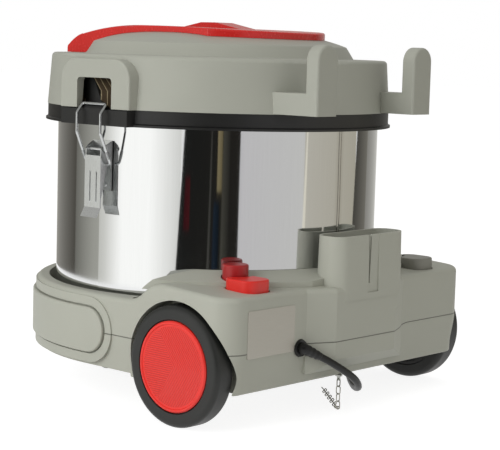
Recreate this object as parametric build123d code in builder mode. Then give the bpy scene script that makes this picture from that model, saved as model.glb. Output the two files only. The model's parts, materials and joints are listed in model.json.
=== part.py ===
from build123d import *
import os
from math import pi, radians, tan

# Canister vacuum: steel tank in a moulded two-wheel trolley, head held by two wire latches.
# Millimetres. Origin on the floor under the tank's axis, +Z up, +Y to the rear (cord side),
# +X to the side whose foot buttons are red.

os.makedirs("parts", exist_ok=True)

SIDES = (("left", 1), ("right", -1))

# ---------------------------------------------------------------- clearances
seat_gap = 0.2            # between pieces of one body that rest on each other
moving_gap = 0.5          # between pieces that slide past each other
shaft_gap = 0.05          # radial, a shaft in its bearing

# ---------------------------------------------------------------- tank
tank_radius = 165.0
tank_wall = 1.0
tank_floor_z = 79.5       # underside of the tank, on the trolley's floor
tank_top_z = 282.0
tank_foot_radius = 6.0    # rounding between wall and bottom
rim_bead = 2.3            # how far the rolled rim stands out
rim_height = 3.4

# ---------------------------------------------------------------- trolley
base_half_width = tank_radius + 19.0  # also the radius of the front
base_rear = tank_radius + 25.0
base_corner = 24.0
base_wall = 3.5
base_draft = 4.0          # how far the lower tray tapers in at its bottom
bottom_rear_z = 36.0
bottom_front_z = 40.0
front_bottom_end = 64.0   # y where the raised front underside ends
seam_z = 74.0
ring_top_z = 111.0
ring_inner_radius = tank_radius + 7.0
ridge_start = 58.0        # y where the ring begins to rise to the deck
ridge_end = 108.0
deck_front_z = 130.0
deck_rear_z = 125.5
deck_round = 5.0
collar_inner_gap = 1.0
collar_outer_radius = tank_radius + 30.0
collar_step = 1.6
collar_top_z = 139.0
collar_start = 52.0
collar_end = 106.0
bulge_rear = base_rear + 13.0  # centre swelling of the rear face
bulge_half_top = 46.0
bulge_half_foot = 75.0
bulge_bevel = 9.0

bottom_round = 2.5
screw_radius = 2.0        # screws that join the two mouldings from below
screw_head_radius = 4.0
screw_boss_radius = 6.5
screw_sink_z = 46.0       # where the screw heads bear
screw_bite = 4.5
screw_head_thick = 2.6
screw_places = [(-120, -60), (120, -60), (0, -150), (-120, 60), (120, 60), (0, 100)]
saddle_x = 90.0           # ribs under the rear axle
saddle_thick = 6.0
saddle_length = 34.0

# front bumper: an oval panel in an oval recess with a raised border
bumper_mid_z = 75.0
bumper_height = 44.0
bumper_end = 31.0         # y of the panel's rounded ends
bumper_proud = 4.2
bumper_sink = 1.2
bumper_gap = 1.5
border_width = 8.5
border_proud = 1.3
bumper_round = 1.6

# ---------------------------------------------------------------- rear tool pocket
pocket_left = 45.0
pocket_right = -62.0
pocket_front = base_rear - 21.0
pocket_top_z = 173.0
pocket_floor_z = 100.0
pocket_wall = 2.6
pocket_corner = 15.0
slot_x = -3.0
slot_top_width = 4.4
slot_foot_width = 1.4
slot_foot_z = 126.0
slot_frame_width = 16.0
slot_frame_depth = 0.8
slot_frame_foot_z = 117.0

# ---------------------------------------------------------------- rear wheels
wheel_y = 126.3
wheel_radius = 56.7
arch_radius = 60.6
arch_wall = 3.0
arch_inner = base_half_width - 26.0  # |x| of the arch's inner wall
tyre_inner_x = base_half_width - 19.0
tyre_outer_x = base_half_width + 3.8
tyre_bore = 43.4
tyre_round = 5.0
cap_radius = 42.4
cap_face_x = base_half_width + 4.6
cap_rim = 3.6
cap_dish = 1.1
axle_radius = 5.0
axle_half_length = base_half_width - 6.0
hub_radius = 11.0
hub_outer_x = base_half_width - 9.5
hub_web_x = base_half_width - 15.0
hub_web = 2.5
hub_rim = 3.0
hub_holes = 6
hub_hole_radius = 7.0
cap_foot_x = base_half_width + 0.8
cap_plug = 6.0
clip_thick = 1.4
clip_radius = 9.0

# ---------------------------------------------------------------- front casters
caster_x = 45.0
caster_y = -125.0
caster_wheel_radius = 17.5
caster_wheel_width = 16.0
caster_trail = 15.0
caster_stem_radius = 4.0
caster_stem_length = 24.0
caster_crown_thick = 3.0
caster_cheek_thick = 2.5
caster_pin_radius = 2.5
caster_boss_radius = 9.0

# ---------------------------------------------------------------- foot buttons
pedal_centre = (128.0, 162.0)
pedal_stem = (131.0, 168.0)
pedal_size = (33.0, 37.0)
pedal_corner = 12.0
pedal_top_z = 137.5
pedal_travel = 5.0
knob_centre = (118.7, 138.2)
knob_radius = 12.3
knob_top_z = 147.5
knob_travel = 4.0
button_gap = 1.3          # dark gap round each button in the deck
button_web = 1.0          # wall left between a knob's well and its pedal's
pedal_notch = knob_radius + 2 * button_gap + button_web
button_round = 1.6
button_stem_radius = 3.0
button_wall = 2.0
well_floor_z = 106.0
well_floor_thick = 2.5
stem_foot_z = 99.0
spring_wire = 1.2
spring_turns = 3
wire_sides = 8            # the springs' wire is eight-sided, to keep its faces few
spring_head_z = 121.0
switch_size = (10.0, 8.0)
switch_top_z = stem_foot_z - pedal_travel - moving_gap
switch_places = [(side * x, y) for side in (1, -1) for x, y in (pedal_stem, knob_centre)]

# ---------------------------------------------------------------- head
band_bottom_z = 271.0
band_top_z = 287.0
band_radius = tank_radius + 10.5
band_lip = 2.1
band_lip_height = 2.2
band_inner_radius = tank_radius + 4.0
deck_plate_thick = 3.0
skirt_radius = tank_radius + 11.0
skirt_top_radius = tank_radius + 7.0
skirt_wall = 3.0
shoulder_z = 338.5
shoulder_round = 4.0
tier_foot_radius = tank_radius - 27.0
tier_foot_round = 2.5
tier_top_radius = 130.0
tier_top_z = 351.0
dome_radius_xy = 84.0     # where the grey dome ends under the red cover
dome_edge_z = 361.5
crown_z = 346.0           # flat top under the cover
dome_mid_z = 357.8
head_screw_circle = tank_radius - 25.0
head_screw_bite = 14.0
cover_half_width = 85.0
cover_front = -160.0
cover_rear = 110.0
cover_gap = 0.25
cover_toe = (-178.0, 339.2)     # side view of the cover's back, as (y, z)
cover_brow = (-107.0, 360.5)
cover_peak = (-32.0, 367.8)
cover_tail = (130.0, 362.8)
cover_round = 2.0
hand_well_half = 44.0
grip_half = 13.0
grip_front = -75.0
grip_rear = 66.0
grip_root = 16.0          # how far the grip runs into the cover at both ends
hump_peak_y = -4.0
hump_top_z = 373.0
hump_foot_z = 361.5

# latches, centred on the same y on both sides
latch_y = 4.0
window_half = 24.0
window_top_z = 316.0
pad_half = 48.0
pad_top_z = 334.0
pad_corner = 20.0
pad_proud = 2.4
block_half = 46.0         # thicker part of the band under the pad
block_face_x = tank_radius + 13.6
keeper_half = 15.0
keeper_top_z = 289.9
keeper_nose_x = tank_radius + 11.0
keeper_nose_drop = 3.3
latch_pivot_x = tank_radius + 8.0
latch_pivot_z = 248.0
latch_pin_radius = 1.6
bracket_half = 13.0
bracket_thick = 1.4
bracket_foot_z = 208.0
bracket_top_z = 256.0
rivet_places = [(-5, 214), (5, 214), (0, 226)]
rivet_radius = 2.4
rivet_height = 1.0
lever_half = 11.0
lever_thick = 1.2
lever_foot_z = 183.0
lever_plate_x = tank_radius + 12.2
lever_flare = 5.0
bail_foot_x = tank_radius + 5.5
bail_foot_z = 234.0
bail_half = 16.5
bail_wire = 1.4           # radius
bail_belly_x = tank_radius + 19.6
bail_top_x = tank_radius + 12.0
bail_top_z = 291.3
bail_bend = 2.6
rib_length = 30.0
rib_width = 2.2

# rear hooks
hook_x = 73.25
hook_width = 29.5
hook_rear = tank_radius + 40.0
hook_thick = 15.0
hook_foot_z = 287.5
hook_arm_top_z = 308.0
hook_top_z = 353.0
hook_round = 2.5

# ---------------------------------------------------------------- motor, filter and hose inlet
motor_cup_radius = 76.0
motor_cup_foot_z = 232.0
motor_cup_wall = 2.5
motor_intake_radius = 26.0
damper_thick = 4.0
fan_case_radius = 70.0
fan_case_top_z = 276.0
fan_case_wall = 2.0
stator_radius = 45.0
stator_top_z = 324.0
stator_bore = 29.0
armature_radius = 28.0
shaft_radius = 4.0
shaft_foot_z = 240.0
shaft_top_z = 330.0
bearing_radius = 11.0
bearing_thick = 7.0
fan_radius = 62.0
fan_foot_z = 246.0
fan_top_z = 262.0
fan_blades = 8
basket_radius = tank_radius - 53.0
basket_foot_z = 176.0
basket_wall = 2.5
basket_windows = 12
cloth_gap = 0.3
cloth_thick = 2.0
cloth_top_z = 268.0
exhaust_inner = tank_radius - 15.0
exhaust_depth = 12.0
exhaust_top_z = 328.0
inlet_z = 205.0
inlet_bore = 19.0
inlet_collar_radius = 26.0
inlet_flange_radius = 36.0
inlet_front = -tank_radius - 40.0
inlet_inner_end = 15.0 - tank_radius
inlet_spigot_radius = 21.5
inlet_screw_circle = 31.0
inlet_screw_hole = 1.7
inlet_screw_head = 3.2
inlet_flange_depth = 24.0
inlet_gasket_thick = 1.5
inlet_lock_depth = 9.0

# ---------------------------------------------------------------- cord, plug and chain
cord_radius = 3.5
gland_x = 83.0
gland_z = 71.0
gland_hole = 6.0
gland_flange = 8.5
coil_centre = (-262.0, -62.0)
coil_mid_radius = 56.0
coil_width = 35.0
coil_height = 28.0
coil_corner = 7.0
coil_lift = 0.3
cord_points = [
    (83.0, 195.0, 71.0), (66.0, 203.5, 62.0), (45.0, 209.5, 49.5), (24.0, 211.5, 36.5),
    (9.0, 204.0, 25.5), (-8.0, 187.0, 19.5), (-36.0, 161.0, 14.5), (-74.0, 127.0, 10.5),
    (-116.0, 92.0, 6.8), (-160.0, 58.0, 4.6), (-196.0, 12.0, 3.8), (-202.4, -17.4, 3.8),
]
plug_length = 36.0
plug_radius = 18.5
plug_tail = 38.0
plug_tail_wall = 0.8
plug_tail_start = 32.0    # from the coil's centre towards the front
plug_neck = 0.62          # radius of the plug's back over that of its front
plug_pin_pitch = 19.0
plug_pin_radius = 2.4
plug_pin_length = 19.0
plug_groove = (6.0, 3.0)  # earth grooves in the plug's sides
chain_x = 16.0
chain_y = 184.0
chain_screw_radius = 3.6
chain_screw_thick = 1.6
link_length = 9.0
link_width = 5.4
link_wire = 0.75
chain_links = 16
chain_run = (-0.66, -0.75)
chain_lie_z = 2.3         # height of the lying links' centres
link_gap = 0.1
chain_hanging = 3         # links below the first that hang straight down
chain_low_z = 1.0         # foot of the lowest hanging link


# ================================================================ shared outlines
def base_plan(inset):
    """Plan outline of the trolley, moved inwards by inset."""
    half = base_half_width - inset
    rear = base_rear - inset
    corner = base_corner - inset
    with BuildSketch() as plan:
        with BuildLine():
            left_side = Line((half, 0), (half, rear - corner))
            left_corner = JernArc(left_side @ 1, (0, 1), corner, 90)
            rear_edge = Line(left_corner @ 1, (corner - half, rear))
            right_corner = JernArc(rear_edge @ 1, (-1, 0), corner, 90)
            Line(right_corner @ 1, (-half, 0))
            ThreePointArc((-half, 0), (0, -half), (half, 0))
        make_face()
    return plan.sketch


def bulge_plan(inset):
    """Centre swelling of the rear face, moved inwards by inset."""
    rear = bulge_rear - inset
    foot = base_rear - inset
    start = base_rear - base_corner
    with BuildSketch() as plan:
        with BuildLine():
            Polyline(
                (-bulge_half_foot, start), (-bulge_half_foot, foot), (-bulge_half_top, rear),
                (bulge_half_top, rear), (bulge_half_foot, foot), (bulge_half_foot, start), close=True,
            )
        make_face()
    return plan.sketch


def side_oval(end_y, height):
    """Oval seen from the side: from beyond the trolley's front to a round end at end_y."""
    radius = height / 2
    front = -base_half_width - 2 * radius
    with BuildSketch() as oval:
        with Locations(((front + end_y - radius) / 2, bumper_mid_z)):
            Rectangle(end_y - radius - front, height)
        with Locations((end_y - radius, bumper_mid_z)):
            Circle(radius)
    return oval.sketch


def pocket_plan(inset):
    """Plan of the rear tool pocket, moved inwards by inset."""
    width = pocket_left - pocket_right - 2 * inset
    depth = bulge_rear - pocket_front - 2 * inset
    with BuildSketch() as plan:
        with Locations(((pocket_left + pocket_right) / 2, (bulge_rear + pocket_front) / 2)):
            RectangleRounded(width, depth, pocket_corner - inset)
    return plan.sketch


def button_plans(grow):
    """Plans of the four foot buttons, grown by grow."""
    with BuildSketch() as plans:
        with Locations(pedal_centre):
            RectangleRounded(pedal_size[0] + 2 * grow, pedal_size[1] + 2 * grow, pedal_corner + grow)
        with Locations(knob_centre):
            Circle(pedal_notch - grow, mode=Mode.SUBTRACT)
            Circle(knob_radius + grow)
        mirror(about=Plane.YZ)
    return plans.sketch


def deck_height(y):
    """Height of the sloping rear deck at y."""
    return deck_front_z + (deck_rear_z - deck_front_z) * (y - ridge_end) / (base_rear - ridge_end)


wheel_axis = Axis((0, wheel_y, wheel_radius), (1, 0, 0))
wheel_plane = Plane(origin=(0, wheel_y, wheel_radius), x_dir=(0, 1, 0), z_dir=(1, 0, 0))

# ================================================================ tools shared by the two mouldings
with BuildPart() as arch_void:
    with BuildSketch(wheel_plane.offset(arch_inner)):
        Circle(arch_radius)
    extrude(amount=base_half_width)
    mirror(about=Plane.YZ)

with BuildPart() as arch_liner:
    with BuildSketch(wheel_plane.offset(arch_inner - arch_wall)):
        Circle(arch_radius + arch_wall)
    extrude(amount=base_half_width)
    mirror(about=Plane.YZ)

with BuildPart() as bumper_border:
    with BuildSketch(Plane.XY.offset(bottom_front_z)):
        add(base_plan(-border_proud))
    extrude(amount=ring_top_z - bottom_front_z)
    with BuildSketch(Plane.YZ):
        add(side_oval(bumper_end + border_width + bumper_gap, bumper_height + 2 * (border_width + bumper_gap)))
    extrude(amount=2 * base_half_width, both=True, mode=Mode.INTERSECT)

with BuildPart() as bumper_recess:
    with BuildSketch(Plane.XY.offset(bottom_front_z)):
        add(base_plan(-2 * border_proud))
    extrude(amount=ring_top_z - bottom_front_z)
    with BuildSketch(Plane.XY.offset(bottom_front_z)):
        add(base_plan(bumper_sink))
    extrude(amount=ring_top_z - bottom_front_z, mode=Mode.SUBTRACT)
    with BuildSketch(Plane.YZ):
        add(side_oval(bumper_end + bumper_gap, bumper_height + 2 * bumper_gap))
    extrude(amount=2 * base_half_width, both=True, mode=Mode.INTERSECT)

with BuildPart() as base_cavity:
    with BuildSketch(Plane.XY.offset(seam_z)):
        add(base_plan(base_wall))
        add(bulge_plan(base_wall))
        Circle(ring_inner_radius + base_wall, mode=Mode.SUBTRACT)
        with Locations((0, (front_bottom_end - base_half_width) / 2)):
            Rectangle(2 * base_half_width, base_half_width + front_bottom_end, mode=Mode.SUBTRACT)
    extrude(amount=deck_rear_z - base_wall - seam_z)
    add(arch_liner.part, mode=Mode.SUBTRACT)

with BuildPart() as tray_cavity:
    with BuildSketch(Plane.XY.offset(bottom_front_z + base_wall)):
        add(base_plan(base_wall + base_draft))
    extrude(amount=seam_z - bottom_front_z)
    with BuildSketch(Plane.XY.offset(bottom_rear_z + bulge_bevel + bulge_rear - base_rear)):
        add(bulge_plan(base_wall))
    extrude(amount=seam_z - bottom_rear_z)
    add(arch_liner.part, mode=Mode.SUBTRACT)

with BuildPart() as gland_bore:
    with BuildSketch(Plane(origin=(gland_x, base_rear + 1, gland_z), x_dir=(1, 0, 0), z_dir=(0, -1, 0))):
        Circle(gland_hole + seat_gap)
    extrude(amount=2 * base_wall + 1)

# ================================================================ trolley: upper moulding
with BuildPart() as collar:
    with BuildSketch(Plane.XZ):
        with BuildLine():
            Polyline(
                (tank_radius + collar_inner_gap, ring_top_z - base_wall),
                (collar_outer_radius, ring_top_z - base_wall),
                (collar_outer_radius, deck_front_z + collar_step),
                (tank_radius + collar_inner_gap, collar_top_z),
                close=True,
            )
        make_face()
    revolve(axis=Axis.Z)
    with BuildSketch(Plane.YZ):
        with BuildLine():
            rise = Bezier(
                (collar_start, ring_top_z - base_wall), (collar_start + 22, ring_top_z),
                (collar_end - 24, collar_top_z), (collar_end, collar_top_z + 1),
            )
            Polyline(
                rise @ 1, (base_rear, collar_top_z + 1), (base_rear, ring_top_z - base_wall), rise @ 0
            )
        make_face()
    extrude(amount=base_half_width, both=True, mode=Mode.INTERSECT)
    with BuildSketch(Plane.XY.offset(ring_top_z - base_wall)):
        add(base_plan(deck_round))
    extrude(amount=base_half_width, mode=Mode.INTERSECT)

with BuildPart() as base_upper_shell:
    with BuildSketch(Plane.XY.offset(seam_z)):
        add(base_plan(0))
        add(bulge_plan(0))
    extrude(amount=deck_front_z + deck_round - seam_z)
    with BuildSketch(Plane.YZ):
        with BuildLine():
            front = Line((-2 * base_half_width, ring_top_z), (ridge_start, ring_top_z))
            middle = (ridge_start + ridge_end) / 2
            rise = Bezier(
                front @ 1, (middle, ring_top_z), (middle - 4, deck_front_z), (ridge_end, deck_front_z)
            )
            fall = Line(rise @ 1, (2 * base_rear, deck_height(2 * base_rear)))
            Polyline(fall @ 1, (2 * base_rear, collar_top_z), (-2 * base_half_width, collar_top_z), front @ 0)
        make_face()
    extrude(amount=base_half_width, both=True, mode=Mode.SUBTRACT)
    rims = base_upper_shell.edges().filter_by(
        lambda edge: edge.center().Z > ring_top_z - 1
        and abs(edge.tangent_at(0.5).Z) < 0.9
        and (abs(edge.tangent_at(0.5).X) < 0.99 or edge.center().Y > base_rear - 1)
    )
    fillet(rims, radius=deck_round)
    add(bumper_border.part)
    add(bumper_recess.part, mode=Mode.SUBTRACT)
    add(collar.part)
    with BuildSketch(Plane.XY.offset(tank_floor_z)):
        Circle(ring_inner_radius)
    extrude(amount=ring_top_z - tank_floor_z, mode=Mode.SUBTRACT)
    with BuildSketch(Plane.XY.offset(tank_floor_z)):
        Circle(tank_radius + collar_inner_gap)
    extrude(amount=collar_top_z, mode=Mode.SUBTRACT)
    # rear tool pocket
    with BuildSketch(Plane.XY.offset(ring_top_z)):
        add(pocket_plan(-0.6))
    with BuildSketch(Plane.XY.offset(pocket_top_z)):
        add(pocket_plan(0.6))
    loft()
    # hollow underside, then the walls that stand inside it
    add(base_cavity.part, mode=Mode.SUBTRACT)
    with BuildSketch(Plane.XY.offset(well_floor_z - well_floor_thick)):
        add(button_plans(button_gap + button_wall))
    extrude(amount=deck_rear_z - well_floor_z)
    with BuildSketch(Plane.XY.offset(well_floor_z)):
        add(button_plans(button_gap))
    extrude(amount=collar_top_z, mode=Mode.SUBTRACT)
    with BuildSketch(Plane.XY.offset(well_floor_z - well_floor_thick)):
        with Locations(pedal_stem, knob_centre):
            Circle(button_stem_radius + moving_gap)
        mirror(about=Plane.YZ)
    extrude(amount=well_floor_thick, mode=Mode.SUBTRACT)
    with BuildSketch(Plane.XY.offset(pocket_floor_z - pocket_wall)):
        add(pocket_plan(0))
    extrude(amount=ring_top_z - pocket_floor_z + pocket_wall)
    with BuildSketch(Plane.XY.offset(pocket_floor_z)):
        add(pocket_plan(pocket_wall))
    with BuildSketch(Plane.XY.offset(pocket_top_z)):
        add(pocket_plan(pocket_wall + 0.6))
    loft(mode=Mode.SUBTRACT)
    # tapered slot and its shallow frame in the pocket's rear wall
    with BuildSketch(Plane.XZ.offset(-bulge_rear - 1)):
        with Locations((slot_x - slot_frame_width / 3, (pocket_top_z + slot_frame_foot_z) / 2)):
            Rectangle(slot_frame_width, pocket_top_z - slot_frame_foot_z)
    extrude(amount=1 + slot_frame_depth, mode=Mode.SUBTRACT)
    with BuildSketch(Plane.XZ.offset(-bulge_rear - 1)):
        with BuildLine():
            Polyline(
                (slot_x - slot_top_width / 2, pocket_top_z + 1),
                (slot_x + slot_top_width / 2, pocket_top_z + 1),
                (slot_x + slot_foot_width / 2, slot_foot_z), (slot_x - slot_foot_width / 2, slot_foot_z),
                close=True,
            )
        make_face()
    extrude(amount=2 * pocket_wall + 2, mode=Mode.SUBTRACT)
    add(arch_void.part, mode=Mode.SUBTRACT)
    add(gland_bore.part, mode=Mode.SUBTRACT)
    with BuildSketch(Plane.XY.offset(seam_z)):
        with Locations(screw_places):
            Circle(screw_radius + shaft_gap)
    extrude(amount=screw_bite, mode=Mode.SUBTRACT)
    split(bisect_by=Plane.XY.offset(seam_z), keep=Keep.TOP)
base_upper_shell.part.label = "base_upper_shell"
export_step(base_upper_shell.part, "parts/base_upper_shell.step")

# ================================================================ trolley: lower tray
with BuildPart() as base_lower_shell:
    with BuildSketch(Plane.XY.offset(seam_z)):
        add(base_plan(0))
    with BuildSketch(Plane.XY.offset(bottom_rear_z)):
        add(base_plan(base_draft))
    loft()
    fillet(base_lower_shell.edges().group_by(Axis.Z)[0], radius=bottom_round)
    with BuildSketch(Plane.XY.offset(seam_z)):
        add(bulge_plan(0))
    extrude(amount=bottom_rear_z - seam_z + bulge_bevel)
    chamfer(
        base_lower_shell.edges().filter_by(Plane.XY).filter_by_position(
            Axis.Z, bottom_rear_z + bulge_bevel - 0.1, bottom_rear_z + bulge_bevel + 0.1
        ).group_by(Axis.Y)[-1],
        bulge_rear - base_rear - 1.5,
    )
    add(bumper_border.part)
    add(bumper_recess.part, mode=Mode.SUBTRACT)
    # raised underside at the front
    with BuildSketch(Plane.XY.offset(bottom_rear_z)):
        with Locations((0, front_bottom_end - base_half_width)):
            Rectangle(2 * base_half_width, 2 * base_half_width)
    extrude(amount=bottom_front_z - bottom_rear_z, mode=Mode.SUBTRACT)
    # hollow tray; the wheel arches keep their walls
    add(tray_cavity.part, mode=Mode.SUBTRACT)
    with BuildSketch(Plane.XY.offset(bottom_front_z)):
        with Locations((caster_x, caster_y), (-caster_x, caster_y)):
            Circle(caster_boss_radius)
        with Locations(screw_places):
            Circle(screw_boss_radius)
    extrude(amount=seam_z - bottom_front_z)
    with BuildSketch(Plane.XY.offset(bottom_rear_z)):
        with Locations(switch_places):
            Rectangle(switch_size[0] + 2, switch_size[1] + 2)
    extrude(amount=seam_z - bottom_rear_z)
    # saddles that carry the axle
    with BuildSketch(Plane.XY.offset(bottom_rear_z)):
        with Locations((saddle_x, wheel_y), (-saddle_x, wheel_y)):
            Rectangle(saddle_thick, saddle_length)
    extrude(amount=wheel_radius + axle_radius - bottom_rear_z)
    with BuildSketch(wheel_plane):
        Circle(axle_radius + seat_gap / 2)
        with Locations((0, axle_radius)):
            Rectangle(2 * axle_radius + seat_gap, 2 * axle_radius)
    extrude(amount=saddle_x + saddle_thick, both=True, mode=Mode.SUBTRACT)
    with BuildSketch(wheel_plane):
        Circle(axle_radius + seat_gap / 2)
    extrude(amount=arch_inner + 1, both=True, mode=Mode.SUBTRACT)
    add(arch_void.part, mode=Mode.SUBTRACT)
    add(gland_bore.part, mode=Mode.SUBTRACT)
    with BuildSketch(Plane.XY.offset(bottom_front_z)):
        with Locations((caster_x, caster_y), (-caster_x, caster_y)):
            Circle(caster_stem_radius + shaft_gap)
    extrude(amount=caster_stem_length + seat_gap, mode=Mode.SUBTRACT)
    with BuildSketch(Plane.XY.offset(bottom_rear_z)):
        with Locations(screw_places):
            Circle(screw_radius + seat_gap)
    extrude(amount=seam_z, mode=Mode.SUBTRACT)
    with BuildSketch(Plane.XY.offset(bottom_rear_z)):
        with Locations(screw_places):
            Circle(screw_head_radius + seat_gap)
    extrude(amount=screw_sink_z - bottom_rear_z, mode=Mode.SUBTRACT)
    split(bisect_by=Plane.XY.offset(seam_z), keep=Keep.BOTTOM)
base_lower_shell.part.label = "base_lower_shell"
export_step(base_lower_shell.part, "parts/base_lower_shell.step")

# ================================================================ trolley: bumper panel
with BuildPart() as bumper_panel:
    with BuildSketch(Plane.XY.offset(bottom_front_z)):
        add(base_plan(-bumper_proud))
    extrude(amount=ring_top_z - bottom_front_z)
    with BuildSketch(Plane.XY.offset(bottom_front_z)):
        add(base_plan(bumper_sink - seat_gap))
    extrude(amount=ring_top_z - bottom_front_z, mode=Mode.SUBTRACT)
    with BuildSketch(Plane.YZ):
        add(side_oval(bumper_end, bumper_height))
    extrude(amount=2 * base_half_width, both=True, mode=Mode.INTERSECT)
    outer_face = bumper_panel.faces().filter_by(GeomType.CYLINDER).filter_by(
        lambda face: face.radius > base_half_width + 1
    ).sort_by(SortBy.AREA)[-1]
    fillet(outer_face.edges().filter_by(lambda edge: edge.center().Y < 0), radius=bumper_round)
bumper_panel.part.label = "bumper_panel"
export_step(bumper_panel.part, "parts/bumper_panel.step")

with BuildPart() as base_screws:
    with BuildSketch(Plane.XY.offset(screw_sink_z - screw_head_thick)):
        with Locations(screw_places):
            Circle(screw_head_radius)
    extrude(amount=screw_head_thick)
    with BuildSketch(Plane.XY.offset(screw_sink_z)):
        with Locations(screw_places):
            Circle(screw_radius)
    extrude(amount=seam_z + screw_bite - seat_gap - screw_sink_z)
    with BuildSketch(Plane.XY.offset(screw_sink_z - screw_head_thick)):
        with Locations(screw_places):
            Rectangle(1.0, screw_head_radius * 1.3)
            Rectangle(screw_head_radius * 1.3, 1.0)
    extrude(amount=screw_head_thick / 2, mode=Mode.SUBTRACT)
base_screws.part.label = "base_screws"
export_step(base_screws.part, "parts/base_screws.step")

# ================================================================ rear wheels on their axle
with BuildPart() as rear_axle:
    with BuildSketch(wheel_plane):
        Circle(axle_radius)
    extrude(amount=axle_half_length, both=True)
    chamfer(rear_axle.edges(), 0.8)
rear_axle.part.label = "rear_axle"
export_step(rear_axle.part, "parts/rear_axle.step")

with BuildPart() as axle_clips:
    with BuildSketch(wheel_plane.offset(hub_outer_x + seat_gap)):
        Circle(clip_radius)
        Circle(axle_radius, mode=Mode.SUBTRACT)
    extrude(amount=clip_thick)
    mirror(about=Plane.YZ)
axle_clips.part.label = "axle_clips"
export_step(axle_clips.part, "parts/axle_clips.step")

for side, sign in SIDES:
    # section of a wheel: x outwards along the axle, y away from it
    wheel_section = Plane(origin=(0, wheel_y, wheel_radius), x_dir=(sign, 0, 0), z_dir=(0, -sign, 0))

    with BuildPart() as tyre:
        with BuildSketch(wheel_section) as tyre_ring:
            with BuildLine():
                Polyline(
                    (tyre_inner_x, tyre_bore), (tyre_outer_x, tyre_bore), (tyre_outer_x, wheel_radius),
                    (tyre_inner_x, wheel_radius), close=True,
                )
            make_face()
            fillet(tyre_ring.vertices().group_by(Axis.Y)[-1], tyre_round)
            fillet(tyre_ring.vertices().group_by(Axis.Y)[0], 0.8)
        revolve(axis=wheel_axis)
    tyre.part.label = f"tyre_{side}"
    export_step(tyre.part, f"parts/tyre_{side}.step")

    with BuildPart() as wheel_hub:
        with BuildSketch(wheel_section):
            with BuildLine():
                Polyline(
                    (arch_inner + seat_gap, axle_radius + shaft_gap),
                    (hub_outer_x, axle_radius + shaft_gap),
                    (hub_outer_x, hub_radius), (hub_web_x + hub_web, hub_radius),
                    (hub_web_x + hub_web, tyre_bore - hub_rim),
                    (cap_foot_x - seat_gap, tyre_bore - hub_rim),
                    (cap_foot_x - seat_gap, tyre_bore), (tyre_inner_x + 1, tyre_bore),
                    (tyre_inner_x + 1, tyre_bore - hub_rim), (hub_web_x, tyre_bore - hub_rim),
                    (hub_web_x, hub_radius), (arch_inner + seat_gap, hub_radius), close=True,
                )
            make_face()
        revolve(axis=wheel_axis)
        with BuildSketch(wheel_plane):
            with PolarLocations((hub_radius + tyre_bore - hub_rim) / 2, hub_holes):
                Circle(hub_hole_radius)
        extrude(amount=sign * tyre_outer_x, mode=Mode.SUBTRACT)
    wheel_hub.part.label = f"wheel_hub_{side}"
    export_step(wheel_hub.part, f"parts/wheel_hub_{side}.step")

    with BuildPart() as wheel_cap:
        with BuildSketch(wheel_section):
            plug_outer = tyre_bore - hub_rim - seat_gap
            with BuildLine():
                Polyline(
                    (cap_foot_x, 0), (cap_face_x - cap_dish, 0),
                    (cap_face_x - cap_dish, cap_radius - cap_rim),
                    (cap_face_x, cap_radius - cap_rim + 0.8), (cap_face_x, cap_radius - 1.2),
                    (cap_face_x - 1.2, cap_radius), (cap_foot_x, cap_radius), (cap_foot_x, plug_outer),
                    (cap_foot_x - cap_plug, plug_outer), (cap_foot_x - cap_plug, plug_outer - 2),
                    (cap_foot_x, plug_outer - 2), close=True,
                )
            make_face()
        revolve(axis=wheel_axis)
    wheel_cap.part.label = f"wheel_cap_{side}"
    export_step(wheel_cap.part, f"parts/wheel_cap_{side}.step")

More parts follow.
